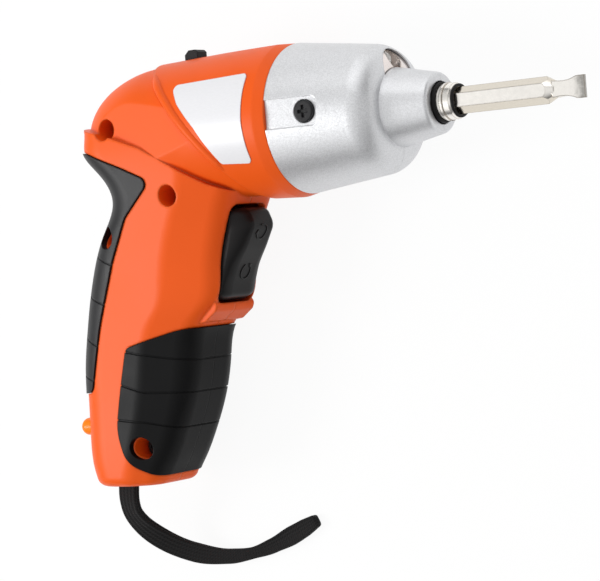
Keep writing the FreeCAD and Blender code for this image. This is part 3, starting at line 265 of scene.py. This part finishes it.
class Graph:
    """One material and its node tree"""

    def __init__(self, name):
        self.material = bpy.data.materials.new(name)
        self.material.use_nodes = True
        self.tree = self.material.node_tree
        self.tree.nodes.clear()
        self.output = self.tree.nodes.new("ShaderNodeOutputMaterial")

    def node(self, kind, settings=None, inputs=None, output=0):
        made = self.tree.nodes.new(kind)
        for key, value in (settings or {}).items():
            setattr(made, key, value)
        for key, value in (inputs or {}).items():
            self.feed(made.inputs[key], value)
        return Wire(self, made.outputs[output])

    def feed(self, socket, value):
        if isinstance(value, Wire):
            self.tree.links.new(value.socket, socket)
        elif socket.type == "RGBA":
            socket.default_value = tuple(value)[:3] + (1.0,)
        else:
            socket.default_value = value

    def place(self):
        return self.node("ShaderNodeTexCoord", output="Object")

    def noise(self, place, size, detail=2.0):
        inputs = {"Vector": place, "Scale": 1.0 / size, "Detail": detail, "Roughness": 0.5}
        return self.node("ShaderNodeTexNoise", inputs=inputs)

    def stretched(self, place, scale):
        return self.node("ShaderNodeMapping", inputs={"Vector": place, "Scale": scale})

    def mix(self, first, second, factor):
        return self.node("ShaderNodeMix", {"data_type": "RGBA"}, {0: factor, 6: first, 7: second}, 2)

    def shades(self, tone, low, high, factor):
        return self.mix(tinted(tone, low), tinted(tone, high), factor)

    def ramp(self, value, low, high):
        inputs = {"Value": value, "From Min": low, "From Max": high}
        return self.node("ShaderNodeMapRange", inputs=inputs)

    def soft_edge(self, radius):
        return self.node("ShaderNodeBevel", {"samples": 6}, {"Radius": radius})

    def edge_mask(self, rounded, gain):
        plain = self.node("ShaderNodeNewGeometry", output="Normal")
        product = {"operation": "DOT_PRODUCT"}
        facing = self.node("ShaderNodeVectorMath", product, {0: rounded, 1: plain}, "Value")
        return self.ramp((1.0 - facing) * gain, 0.0, 1.0)

    def crease(self, reach):
        # Painted shade: a point closed in by nearby surfaces gets a higher value, for darkening creases
        # and recesses
        open_sky = self.node("ShaderNodeAmbientOcclusion", {"samples": 8}, {"Distance": reach}, "AO")
        return self.ramp(1.0 - open_sky, 0.15, 0.75)

    def bump(self, height, distance, strength, normal=None):
        inputs = {"Height": height, "Distance": distance, "Strength": strength}
        if normal is not None:
            inputs["Normal"] = normal
        return self.node("ShaderNodeBump", inputs=inputs)

    def surface(self, **sockets):
        inputs = {key.replace("_", " "): value for key, value in sockets.items()}
        shader = self.node("ShaderNodeBsdfPrincipled", inputs=inputs)
        self.tree.links.new(shader.socket, self.output.inputs["Surface"])
        return self.material


# Finishes
def moulded_orange(finish, sizes):
    graph = Graph("moulded_orange")
    place = graph.place()
    cloud = graph.noise(place, size=30 * MM)
    grain = graph.noise(place, size=0.35 * MM, detail=3.0)
    rounded = graph.soft_edge(sizes.housing_round)
    # Painted highlight: edge marks where a paler orange goes along the housing's edges
    edge = graph.edge_mask(rounded, gain=2.0)
    body = graph.shades(finish.orange, 0.94, 1.05, cloud)
    # Painted shade: a darker orange where the surface sits in a crease or recess
    shaded = graph.mix(body, ORANGE_PAINTED_CREASE_SHADE, graph.crease(sizes.crease_reach) * 0.7)
    return graph.surface(
        Base_Color=graph.mix(shaded, ORANGE_PAINTED_EDGE_HIGHLIGHT, edge * 0.35),
        Roughness=0.36 + 0.08 * cloud + 0.05 * grain,
        Specular_IOR_Level=0.17,
        Normal=graph.bump(grain, distance=0.02 * MM, strength=0.35, normal=rounded),
    )


def silver_paint(finish, sizes):
    graph = Graph("silver_paint")
    place = graph.place()
    flake = {"Vector": place, "Scale": 1 / (0.22 * MM)}
    flakes = graph.node("ShaderNodeTexVoronoi", inputs=flake, output="Color")
    spark = graph.node("ShaderNodeSeparateColor", inputs={"Color": flakes})
    cloud = graph.noise(place, size=12 * MM)
    pebble = graph.noise(place, size=0.70 * MM)
    rounded = graph.soft_edge(sizes.edge_round)
    return graph.surface(
        Base_Color=graph.shades(finish.silver, 0.90, 1.10, spark),
        Metallic=0.85,
        Roughness=0.34 + 0.10 * spark + 0.05 * cloud,
        Normal=graph.bump(pebble + 0.2 * spark, distance=0.11 * MM, strength=0.38, normal=rounded),
    )


def soft_rubber(name, tone, sizes, shine):
    graph = Graph(name)
    place = graph.place()
    stipple = graph.noise(place, size=0.45 * MM)
    cloud = graph.noise(place, size=9 * MM, detail=3.0)
    rounded = graph.soft_edge(sizes.edge_round)
    # Painted highlight: the rubber is lighter along its edges
    edge = graph.edge_mask(rounded, gain=2.0)
    body = graph.shades(tone, 0.85, 1.25, cloud)
    return graph.surface(
        Base_Color=graph.mix(body, tinted(tone, 3.0), edge * 0.5),
        Roughness=0.40 + 0.12 * cloud,
        Specular_IOR_Level=shine,
        Normal=graph.bump(stipple, distance=0.05 * MM, strength=0.4, normal=rounded),
    )


def satin_black(name, tone, sizes, rough):
    graph = Graph(name)
    place = graph.place()
    cloud = graph.noise(place, size=6 * MM, detail=3.0)
    grain = graph.noise(place, size=0.3 * MM)
    rounded = graph.soft_edge(sizes.edge_round)
    # Painted highlight: the black is lighter along its edges
    edge = graph.edge_mask(rounded, gain=2.0)
    body = graph.shades(tone, 0.85, 1.2, cloud)
    return graph.surface(
        Base_Color=graph.mix(body, tinted(tone, 3.0), edge * 0.4),
        Roughness=rough + 0.10 * cloud,
        Specular_IOR_Level=0.17,
        Normal=graph.bump(grain, distance=0.02 * MM, strength=0.4, normal=rounded),
    )


def label_film(finish):
    graph = Graph("label_film")
    place = graph.place()
    fibre = graph.noise(graph.stretched(place, (1.0, 4.0, 4.0)), size=1.2 * MM, detail=4.0)
    cloud = graph.noise(place, size=14 * MM)
    # Painted shadow: a thin dark line along the label's edge
    painted_edge_shadow = graph.edge_mask(graph.soft_edge(0.35 * MM), gain=3.0)
    film = graph.shades(finish.label, 0.95, 1.04, fibre)
    return graph.surface(
        Base_Color=graph.mix(film, LABEL_PAINTED_EDGE_SHADOW, painted_edge_shadow * 0.8),
        Roughness=0.28 + 0.10 * cloud,
        Normal=graph.bump(fibre, distance=0.01 * MM, strength=0.3),
    )


def bright_metal(name, tone, sizes, rough, streak=STREAK_ALONG):
    graph = Graph(name)
    place = graph.place()
    lines = graph.noise(graph.stretched(place, streak), size=0.9 * MM, detail=3.0)
    cloud = graph.noise(place, size=4 * MM)
    rounded = graph.soft_edge(sizes.edge_round * 0.6)
    # Painted shade: the metal is darkened along its edges
    edge = graph.edge_mask(graph.soft_edge(sizes.edge_round * 1.4), gain=5.0)
    body = graph.shades(tone, 0.90, 1.06, cloud)
    return graph.surface(
        Base_Color=graph.mix(body, METAL_PAINTED_EDGE_SHADE, edge * 0.8),
        Metallic=1.0,
        Roughness=rough + 0.10 * lines + 0.05 * cloud,
        Normal=graph.bump(lines, distance=0.01 * MM, strength=0.25, normal=rounded),
    )


def bit_nickel(finish, sizes):
    """Nickel with painted shade on its side faces, on its tip and along its edges"""
    graph = Graph("bit_nickel")
    place = graph.place()
    lines = graph.noise(graph.stretched(place, STREAK_ALONG), size=0.9 * MM, detail=3.0)
    cloud = graph.noise(place, size=1.2 * MM, detail=3.0)
    along = graph.node("ShaderNodeSeparateXYZ", inputs={"Vector": place}, output="X")
    facing = graph.node("ShaderNodeTexCoord", output="Normal")
    turned = graph.node("ShaderNodeSeparateXYZ", inputs={"Vector": facing}, output="Y")
    rounded = graph.soft_edge(sizes.edge_round * 0.6)
    # Painted shade: faces turned towards Y darken in streaks, the tip darkens towards its end, and the
    # edges darken
    edge = graph.edge_mask(graph.soft_edge(sizes.edge_round * 1.4), gain=7.0)
    side_shade_mask = graph.ramp(turned * turned, 0.2, 0.6)
    tip_shade_mask = graph.ramp(along + cloud * (2.4 * MM), BIT_PAINTED_TIP_SHADE_MM[0] * MM, BIT_PAINTED_TIP_SHADE_MM[1] * MM)
    body = graph.shades(finish.steel, 0.94, 1.06, cloud)
    sides = graph.mix(body, BIT_PAINTED_SIDE_SHADE, side_shade_mask * (0.45 + 0.75 * lines))
    tip = graph.mix(sides, BIT_PAINTED_TIP_SHADE, tip_shade_mask * (0.55 + 0.6 * cloud))
    return graph.surface(
        Base_Color=graph.mix(tip, BIT_PAINTED_EDGE_SHADE, edge * 0.9),
        Metallic=1.0,
        Roughness=0.12 + 0.10 * lines + 0.05 * cloud,
        Normal=graph.bump(lines, distance=0.01 * MM, strength=0.25, normal=rounded),
    )


def plain_part(name, tone, metal, rough):
    graph = Graph(name)
    cloud = graph.noise(graph.place(), size=3 * MM, detail=3.0)
    return graph.surface(
        Base_Color=graph.shades(tone, 0.85, 1.15, cloud),
        Metallic=metal,
        Roughness=rough + 0.10 * cloud,
        Normal=graph.bump(cloud, distance=0.02 * MM, strength=0.2),
    )


def clear_lens(name, tone, clear, rough, glow=0.0):
    graph = Graph(name)
    cloud = graph.noise(graph.place(), size=2 * MM)
    return graph.surface(
        Base_Color=graph.mix(tinted(tone, 0.96), tone, cloud),
        Roughness=rough + 0.02 * cloud,
        Transmission_Weight=clear,
        Specular_IOR_Level=0.20,
        IOR=1.5,
        # Painted light: a glow above nothing makes the lens shine by itself
        Emission_Color=tone,
        Emission_Strength=glow,
    )


def woven_strap(finish):
    graph = Graph("woven_strap")
    along = graph.node("ShaderNodeTexCoord", output="UV")
    twill = graph.node(
        "ShaderNodeTexWave",
        {"bands_direction": "DIAGONAL"},
        {"Vector": along, "Scale": 0.55 / MM, "Distortion": 1.2, "Detail": 1.0},
    )
    weft = graph.node(
        "ShaderNodeTexWave",
        {"bands_direction": "Y"},
        {"Vector": along, "Scale": 0.35 / MM, "Distortion": 0.6},
    )
    fuzz = graph.noise(graph.place(), size=0.25 * MM, detail=3.0)
    weave = twill * 0.6 + weft * 0.4
    return graph.surface(
        Base_Color=graph.shades(finish.strap, 0.7, 3.2, weave * fuzz),
        Roughness=0.72 + 0.15 * fuzz,
        Sheen_Weight=0.05,
        Specular_IOR_Level=0.20,
        Normal=graph.bump(weave + 0.4 * fuzz, distance=0.10 * MM, strength=0.7),
    )


# Mesh helpers
def new_piece(name, vertices, faces, material, body, smooth=True):
    mesh = bpy.data.meshes.new(name)
    mesh.from_pydata([tuple(v) for v in vertices], [], faces)
    mesh.materials.append(material)
    mesh.polygons.foreach_set("use_smooth", [smooth] * len(mesh.polygons))
    mesh.update()
    piece = bpy.data.objects.new(name, mesh)
    bpy.context.scene.collection.objects.link(piece)
    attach(piece, body)
    return piece


def tube_faces(rows, corners, closed=False):
    """Faces between rows of corners, with a cap on each end unless the rows close on themselves"""
    faces = []
    for i in range(rows if closed else rows - 1):
        here = corners * i
        ahead = corners * ((i + 1) % rows)
        for j in range(corners):
            k = (j + 1) % corners
            faces.append((here + j, here + k, ahead + k, ahead + j))
    if not closed:
        last = corners * (rows - 1)
        faces.append(tuple(reversed(range(corners))))
        faces.append(tuple(range(last, last + corners)))
    return faces


def eased(table, place):
    for (start, low), (end, high) in zip(table, table[1:]):
        if place <= end:
            step = (place - start) / (end - start)
            return low + (high - low) * step * step * (3 - 2 * step)
    return table[-1][1]


def dress(material, *names):
    for name in names:
        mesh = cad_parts[name].data
        mesh.materials.clear()
        mesh.materials.append(material)


def read_line(points):
    """Even points along a smooth curve through the route"""
    curve = bpy.data.curves.new("line", "CURVE")
    curve.dimensions = "3D"
    curve.resolution_u = 12
    spline = curve.splines.new("NURBS")
    spline.points.add(len(points) - 1)
    for point, spot in zip(spline.points, points):
        point.co = (*spot, 1.0)
    spline.order_u = 3
    spline.use_endpoint_u = True
    holder = bpy.data.objects.new("line", curve)
    mesh = bpy.data.meshes.new_from_object(holder)
    line = [v.co.copy() for v in mesh.vertices]
    bpy.data.objects.remove(holder)
    bpy.data.curves.remove(curve)
    bpy.data.meshes.remove(mesh)
    return line


# Operators
class SCREWDRIVER_OT_housing(bpy.types.Operator):
    """Finish the moulded housing halves and round the barrel's rear edge"""

    bl_idname = "screwdriver.housing"
    bl_label = "Housing"

    def execute(self, context):
        scene = context.scene
        sizes = scene.screwdriver_sizes
        orange = moulded_orange(scene.screwdriver_finish, sizes)
        dress(orange, "right_housing", "left_housing")
        for name, side in (("right", 1), ("left", -1)):
            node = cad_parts[name + "_housing"]
            tree = BVHTree.FromObject(node, context.evaluated_depsgraph_get())
            self.ridge("barrel_ridge_" + name, tree, side, sizes.ridge_radius, orange)
        return {"FINISHED"}

    def ridge(self, name, tree, side, radius, material):
        steps = 14
        corners = 12
        taper_rows = 8
        blunt = 0.15
        sunk = 0.5
        outside = side * 50 * MM
        spots = []
        for (x0, y0), (x1, y1) in zip(RIDGE_MM, RIDGE_MM[1:]):
            for i in range(steps):
                x = x0 + (x1 - x0) * i / steps
                y = y0 + (y1 - y0) * i / steps
                start = Vector((x * MM + radius * sunk, y * MM, outside))
                spots.append(tree.ray_cast(start, Vector((0, 0, -side)))[:2])
        last = len(spots) - 1
        vertices = []
        for i, (spot, normal) in enumerate(spots):
            along = (spots[min(i + 1, last)][0] - spots[max(i - 1, 0)][0]).normalized()
            across = along.cross(normal).normalized()
            reach = radius * min(1.0, blunt + min(i, last - i) / taper_rows)
            centre = spot - normal * (radius * sunk)
            for j in range(corners):
                angle = 2 * math.pi * j / corners
                vertices.append(centre + (normal * math.cos(angle) + across * math.sin(angle)) * reach)
        faces = tube_faces(len(spots), corners)
        new_piece(name, vertices, faces, material, "body")


class SCREWDRIVER_OT_nose(bpy.types.Operator):
    """Paint the nose and finish the lamp in it"""

    bl_idname = "screwdriver.nose"
    bl_label = "Nose and lamp"

    def execute(self, context):
        scene = context.scene
        sizes = scene.screwdriver_sizes
        dress(silver_paint(scene.screwdriver_finish, sizes), "right_nose", "left_nose")
        dress(bright_metal("mirror_cup", MIRROR_CUP, sizes, rough=0.10), "lamp_holder")
        # Painted light: the lamp's lens glows slightly to brighten the shaded lamp window
        dress(clear_lens("lamp_lens", LAMP_GLASS, clear=0.7, rough=0.05, glow=0.06), "lamp")
        return {"FINISHED"}


class SCREWDRIVER_OT_grips(bpy.types.Operator):
    """Finish the soft grips"""

    bl_idname = "screwdriver.grips"
    bl_label = "Grips"

    def execute(self, context):
        finish = context.scene.screwdriver_finish
        sizes = context.scene.screwdriver_sizes
        front = soft_rubber("front_rubber", finish.rubber, sizes, shine=0.12)
        # Painted light: the rear grips get a lighter tone than the same rubber in front
        rear = soft_rubber("rear_rubber", finish.rear_rubber, sizes, shine=0.24)
        dress(front, "front_grip_right", "front_grip_left")
        dress(rear, "rear_grip_right", "rear_grip_left")
        return {"FINISHED"}


class SCREWDRIVER_OT_trigger(bpy.types.Operator):
    """Finish the rocker and the light slider, and raise a turning arrow on each end of the rocker"""

    bl_idname = "screwdriver.trigger"
    bl_label = "Trigger and slider"

    def execute(self, context):
        scene = context.scene
        sizes = scene.screwdriver_sizes
        black = satin_black("trigger_black", scene.screwdriver_finish.trigger, sizes, rough=0.36)
        dress(black, "trigger_rocker", "light_slider")
        low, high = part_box("trigger_rocker")
        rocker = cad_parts["trigger_rocker"]
        tree = BVHTree.FromObject(rocker, context.evaluated_depsgraph_get())
        for name, (rise, turn) in ARROWS.items():
            middle = low.y + (high.y - low.y) * rise
            self.arrow("trigger_arrow_" + name, tree, high.x, middle, turn, sizes, black)
        return {"FINISHED"}

    def arrow(self, name, tree, front, middle, turn, sizes, material):
        steps = 40
        head_steps = 4
        head_width = 3.2
        point_width = 0.05
        half = sizes.arrow_line / 2
        rows = [(ARROW_START + turn * ARROW_SWEEP * i / steps, half) for i in range(steps + 1)]
        neck = rows[-1][0]
        for i in range(head_steps + 1):
            left = 1 - i / head_steps
            angle = neck + turn * ARROW_HEAD * i / head_steps
            rows.append((angle, half * head_width * left + half * point_width))
        # Corners across the line, as shares of its half width and of its height
        section = ((-1, -0.5), (-0.8, 1), (0.8, 1), (1, -0.5))
        outside = front + 10 * MM
        vertices = []
        for angle, reach in rows:
            for share_out, lift in section:
                distance = sizes.arrow_radius + reach * share_out
                y = middle + distance * math.sin(angle)
                z = distance * math.cos(angle)
                spot, normal = tree.ray_cast(Vector((outside, y, z)), Vector((-1, 0, 0)))[:2]
                vertices.append(spot + normal * (sizes.arrow_height * lift))
        faces = tube_faces(len(rows), len(section))
        new_piece(name, vertices, faces, material, "trigger", smooth=False)


class SCREWDRIVER_OT_bit(bpy.types.Operator):
    """Finish the spindle and the slotted bit, and put two rubber rings on the spindle"""

    bl_idname = "screwdriver.bit"
    bl_label = "Spindle and bit"

    def execute(self, context):
        scene = context.scene
        sizes = scene.screwdriver_sizes
        finish = scene.screwdriver_finish
        dress(bit_nickel(finish, sizes), "slotted_bit")
        nickel = bright_metal("spindle_nickel", finish.steel, sizes, rough=0.14, streak=STREAK_AROUND)
        dress(nickel, "spindle", "spindle_clip")
        dress(satin_black("blued_bush", finish.screw, sizes, rough=0.34), "spindle_bush")
        rubber = satin_black("ring_rubber", finish.trigger, sizes, rough=0.44)
        for name, (rear, front, inner, outer) in RINGS_MM.items():
            self.ring(name, rear * MM, front * MM, inner * MM, outer * MM, rubber)
        return {"FINISHED"}

    def ring(self, name, rear, front, inner, outer, material):
        turns = 96
        corners = 20
        vertices = []
        for i in range(turns):
            turn = 2 * math.pi * i / turns
            for j in range(corners):
                angle = 2 * math.pi * j / corners
                along = self.squared(math.cos(angle))
                out = self.squared(math.sin(angle))
                x = (rear + front + (front - rear) * along) / 2
                radius = (inner + outer + (outer - inner) * out) / 2
                vertices.append((x, radius * math.cos(turn), radius * math.sin(turn)))
        faces = tube_faces(turns, corners, closed=True)
        new_piece(name, vertices, faces, material, "spindle")

    def squared(self, value):
        """Push a sine towards its ends, so that a ring's round section fills out its corners"""
        return math.copysign(math.sqrt(abs(value)), value)


class SCREWDRIVER_OT_screws(bpy.types.Operator):
    """Finish the screws"""

    bl_idname = "screwdriver.screws"
    bl_label = "Screws"

    def execute(self, context):
        scene = context.scene
        sizes = scene.screwdriver_sizes
        black = satin_black("black_oxide", scene.screwdriver_finish.screw, sizes, rough=0.30)
        names = ["housing_screw_%d" % number for number in range(1, 5)]
        dress(black, "nose_screw_right", "nose_screw_left", *names)
        return {"FINISHED"}


class SCREWDRIVER_OT_label(bpy.types.Operator):
    """Finish the blank label"""

    bl_idname = "screwdriver.label"
    bl_label = "Label"

    def execute(self, context):
        dress(label_film(context.scene.screwdriver_finish), "label")
        return {"FINISHED"}


class SCREWDRIVER_OT_inside(bpy.types.Operator):
    """Finish the drive and the power parts inside"""

    bl_idname = "screwdriver.inside"
    bl_label = "Inside"

    def execute(self, context):
        scene = context.scene
        sizes = scene.screwdriver_sizes
        for name, (tone, metal, rough, solids) in INSIDE.items():
            dress(plain_part(name, tone, metal, rough), *solids)
        dark = satin_black("switch_black", SWITCH_BLACK, sizes, rough=0.4)
        dress(dark, "switch_body", "plunger_upper", "plunger_lower", "light_switch", "charge_jack")
        amber = scene.screwdriver_finish.amber
        dress(clear_lens("amber_lens", amber, clear=0.0, rough=0.24), "charge_lamp")
        return {"FINISHED"}


class SCREWDRIVER_OT_strap(bpy.types.Operator):
    """Weave the doubled wrist strap along its route"""

    bl_idname = "screwdriver.strap"
    bl_label = "Wrist strap"

    def execute(self, context):
        scene = context.scene
        sizes = scene.screwdriver_sizes
        route = [Vector(p) * MM for p in STRAP_ROUTE_MM]
        line = read_line(route)
        profile = self.profile(sizes)
        total = sum((b - a).length for a, b in zip(line, line[1:]))
        half = sizes.strap_width / 2
        vertices = []
        reaches = []
        travelled = 0.0
        for i, spot in enumerate(line):
            ahead = line[min(i + 1, len(line) - 1)]
            behind = line[max(i - 1, 0)]
            along = (ahead - behind).normalized()
            across = along.cross(Vector((0, 0, 1))).normalized()
            through = across.cross(along).normalized()
            travelled += (spot - behind).length if i else 0.0
            wide = eased(STRAP_WIDTHS, travelled / total)
            trough = eased(STRAP_OPENINGS, travelled / total)
            for u, v in profile:
                middle = max(0.0, 1 - (u / half) ** 2)
                dip = trough * sizes.strap_thickness * middle if v > 0 else 0.0
                vertices.append(spot + across * (u * wide) + through * (v - dip))
            reaches.append(travelled)
        fold = sizes.strap_thickness / 2
        for turn in STRAP_END_TURNS:
            spot = line[-1] + along * (fold * math.sin(turn))
            small = math.cos(turn)
            for u, v in profile:
                vertices.append(spot + across * (u * wide * small) + through * (v * small))
            reaches.append(travelled + fold * turn)
        faces = tube_faces(len(reaches), len(profile))
        material = woven_strap(scene.screwdriver_finish)
        strap = new_piece("strap_band", vertices, faces, material, "body")
        self.unwrap(strap.data, profile, reaches)
        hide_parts("wrist_strap")
        return {"FINISHED"}

    def profile(self, sizes):
        """Outline across the doubled band: ribs, rounded edges and a groove between the layers"""
        half = sizes.strap_width / 2
        thick = sizes.strap_thickness / 2
        edge = sizes.strap_edge
        lip = edge * 0.9
        notch = edge * 0.8
        steps = 36
        top = []
        for i in range(steps + 1):
            u = -half + 2 * half * i / steps
            past = max(0.0, abs(u) - (half - edge))
            drop = edge - math.sqrt(max(0.0, edge * edge - past * past))
            rib = sizes.strap_rib * math.cos(2 * math.pi * sizes.strap_ribs * u / sizes.strap_width)
            top.append((u, thick - sizes.strap_rib - drop + (rib if past == 0 else 0.0)))
        lower = [(u, -v) for u, v in reversed(top)]
        right = [(half, lip), (half - notch, 0.0), (half, -lip)]
        left = [(-u, v) for u, v in reversed(right)]
        return top + right + lower + left

    def unwrap(self, mesh, profile, reaches):
        layer = mesh.uv_layers.new(name="weave")
        count = len(profile)
        for loop in mesh.loops:
            row, column = divmod(loop.vertex_index, count)
            layer.data[loop.index].uv = (profile[column][0], reaches[row])


class SCREWDRIVER_OT_stage(bpy.types.Operator):
    """Lay the floor, set the lamps and the camera"""

    bl_idname = "screwdriver.stage"
    bl_label = "Stage"

    def execute(self, context):
        scene = context.scene
        studio = scene.screwdriver_studio
        scene.view_settings.view_transform = "Standard"
        self.floor(studio)
        self.world(scene, studio)
        for name, (spot, target, size) in SOFTBOXES.items():
            self.lamp(name + "_softbox", spot, target, size, getattr(studio, name))
        self.camera(scene)
        return {"FINISHED"}

    def seen(self, graph):
        """One where the floor is looked at, straight, in a mirror or through glass"""
        path = "ShaderNodeLightPath"
        straight = graph.node(path, output="Is Camera Ray")
        mirrored = graph.node(path, output="Is Glossy Ray")
        through = graph.node(path, output="Is Transmission Ray")
        return graph.node("ShaderNodeClamp", inputs={"Value": straight + mirrored + through})

    def floor(self, studio):
        graph = Graph("white_floor")
        matt = graph.node("ShaderNodeBsdfDiffuse", inputs={"Color": FLOOR_GREY})
        glow = graph.node("ShaderNodeEmission", inputs={"Color": WHITE, "Strength": 1.0})
        factor = self.seen(graph) * studio.floor
        mixed = graph.node("ShaderNodeMixShader", inputs={0: factor, 1: matt, 2: glow})
        graph.tree.links.new(mixed.socket, graph.output.inputs["Surface"])
        level = cad_box[0].z - FLOOR_GAP_MM * MM
        signs = [(-1, -1), (1, -1), (1, 1), (-1, 1)]
        corners = [(x * FLOOR_REACH, y * FLOOR_REACH, level) for x, y in signs]
        mesh = bpy.data.meshes.new("floor")
        mesh.from_pydata(corners, [], [(0, 1, 2, 3)])
        mesh.materials.append(graph.material)
        floor = bpy.data.objects.new("floor", mesh)
        bpy.context.scene.collection.objects.link(floor)

    def world(self, scene, studio):
        world = bpy.data.worlds.new("studio")
        world.use_nodes = True
        scene.world = world
        nodes = world.node_tree.nodes
        links = world.node_tree.links
        back = nodes["Background"]
        back.inputs["Color"].default_value = (*WHITE, 1.0)
        place = nodes.new("ShaderNodeTexCoord")
        parts = nodes.new("ShaderNodeSeparateXYZ")
        rise = nodes.new("ShaderNodeMapRange")
        rise.inputs["To Min"].default_value = studio.world
        rise.inputs["To Max"].default_value = studio.zenith
        links.new(place.outputs["Generated"], parts.inputs["Vector"])
        links.new(parts.outputs["Z"], rise.inputs["Value"])
        links.new(rise.outputs["Result"], back.inputs["Strength"])

    def lamp(self, name, spot, target, size, watts):
        data = bpy.data.lights.new(name, "AREA")
        data.shape = "SQUARE"
        data.size = size
        data.energy = watts
        lamp = bpy.data.objects.new(name, data)
        lamp.location = spot
        lamp.rotation_mode = "QUATERNION"
        lamp.rotation_quaternion = (Vector(target) - Vector(spot)).to_track_quat("-Z", "Y")
        bpy.context.scene.collection.objects.link(lamp)

    def camera(self, scene):
        data = bpy.data.cameras.new("camera")
        data.sensor_fit = "HORIZONTAL"
        data.sensor_width = CAMERA_SENSOR
        data.lens = CAMERA_LENS
        data.clip_start = 0.01
        camera = bpy.data.objects.new("camera", data)
        turn = Matrix((CAMERA_RIGHT, CAMERA_UP, CAMERA_BACK)).transposed()
        camera.matrix_world = Matrix.Translation(Vector(CAMERA_SPOT_MM) * MM) @ turn.to_4x4()
        scene.collection.objects.link(camera)
        scene.camera = camera


OPERATORS = (
    SCREWDRIVER_OT_stage, SCREWDRIVER_OT_strap, SCREWDRIVER_OT_housing, SCREWDRIVER_OT_nose,
    SCREWDRIVER_OT_grips, SCREWDRIVER_OT_trigger, SCREWDRIVER_OT_bit, SCREWDRIVER_OT_screws,
    SCREWDRIVER_OT_label, SCREWDRIVER_OT_inside,
)
SETTINGS = (ScrewdriverFinish, ScrewdriverSizes, ScrewdriverStudio)


class SCREWDRIVER_PT_panel(bpy.types.Panel):
    """Steps of the looks, in order"""

    bl_idname = "SCREWDRIVER_PT_panel"
    bl_label = "Screwdriver"
    bl_space_type = "VIEW_3D"
    bl_region_type = "UI"
    bl_category = "Screwdriver"

    def draw(self, context):
        for operator in OPERATORS:
            self.layout.operator(operator.bl_idname)
        scene = context.scene
        for settings in (scene.screwdriver_finish, scene.screwdriver_sizes, scene.screwdriver_studio):
            box = self.layout.box()
            for name in settings.__annotations__:
                box.prop(settings, name)


CLASSES = SETTINGS + OPERATORS + (SCREWDRIVER_PT_panel,)


def register():
    for kind in CLASSES:
        bpy.utils.register_class(kind)
    bpy.types.Scene.screwdriver_finish = PointerProperty(type=ScrewdriverFinish)
    bpy.types.Scene.screwdriver_sizes = PointerProperty(type=ScrewdriverSizes)
    bpy.types.Scene.screwdriver_studio = PointerProperty(type=ScrewdriverStudio)


def unregister():
    del bpy.types.Scene.screwdriver_studio
    del bpy.types.Scene.screwdriver_sizes
    del bpy.types.Scene.screwdriver_finish
    for kind in reversed(CLASSES):
        bpy.utils.unregister_class(kind)


def main():
    register()
    bpy.ops.screwdriver.stage()
    bpy.ops.screwdriver.strap()
    bpy.ops.screwdriver.housing()
    bpy.ops.screwdriver.nose()
    bpy.ops.screwdriver.grips()
    bpy.ops.screwdriver.trigger()
    bpy.ops.screwdriver.bit()
    bpy.ops.screwdriver.screws()
    bpy.ops.screwdriver.label()
    bpy.ops.screwdriver.inside()


if __name__ == "__main__":
    main()
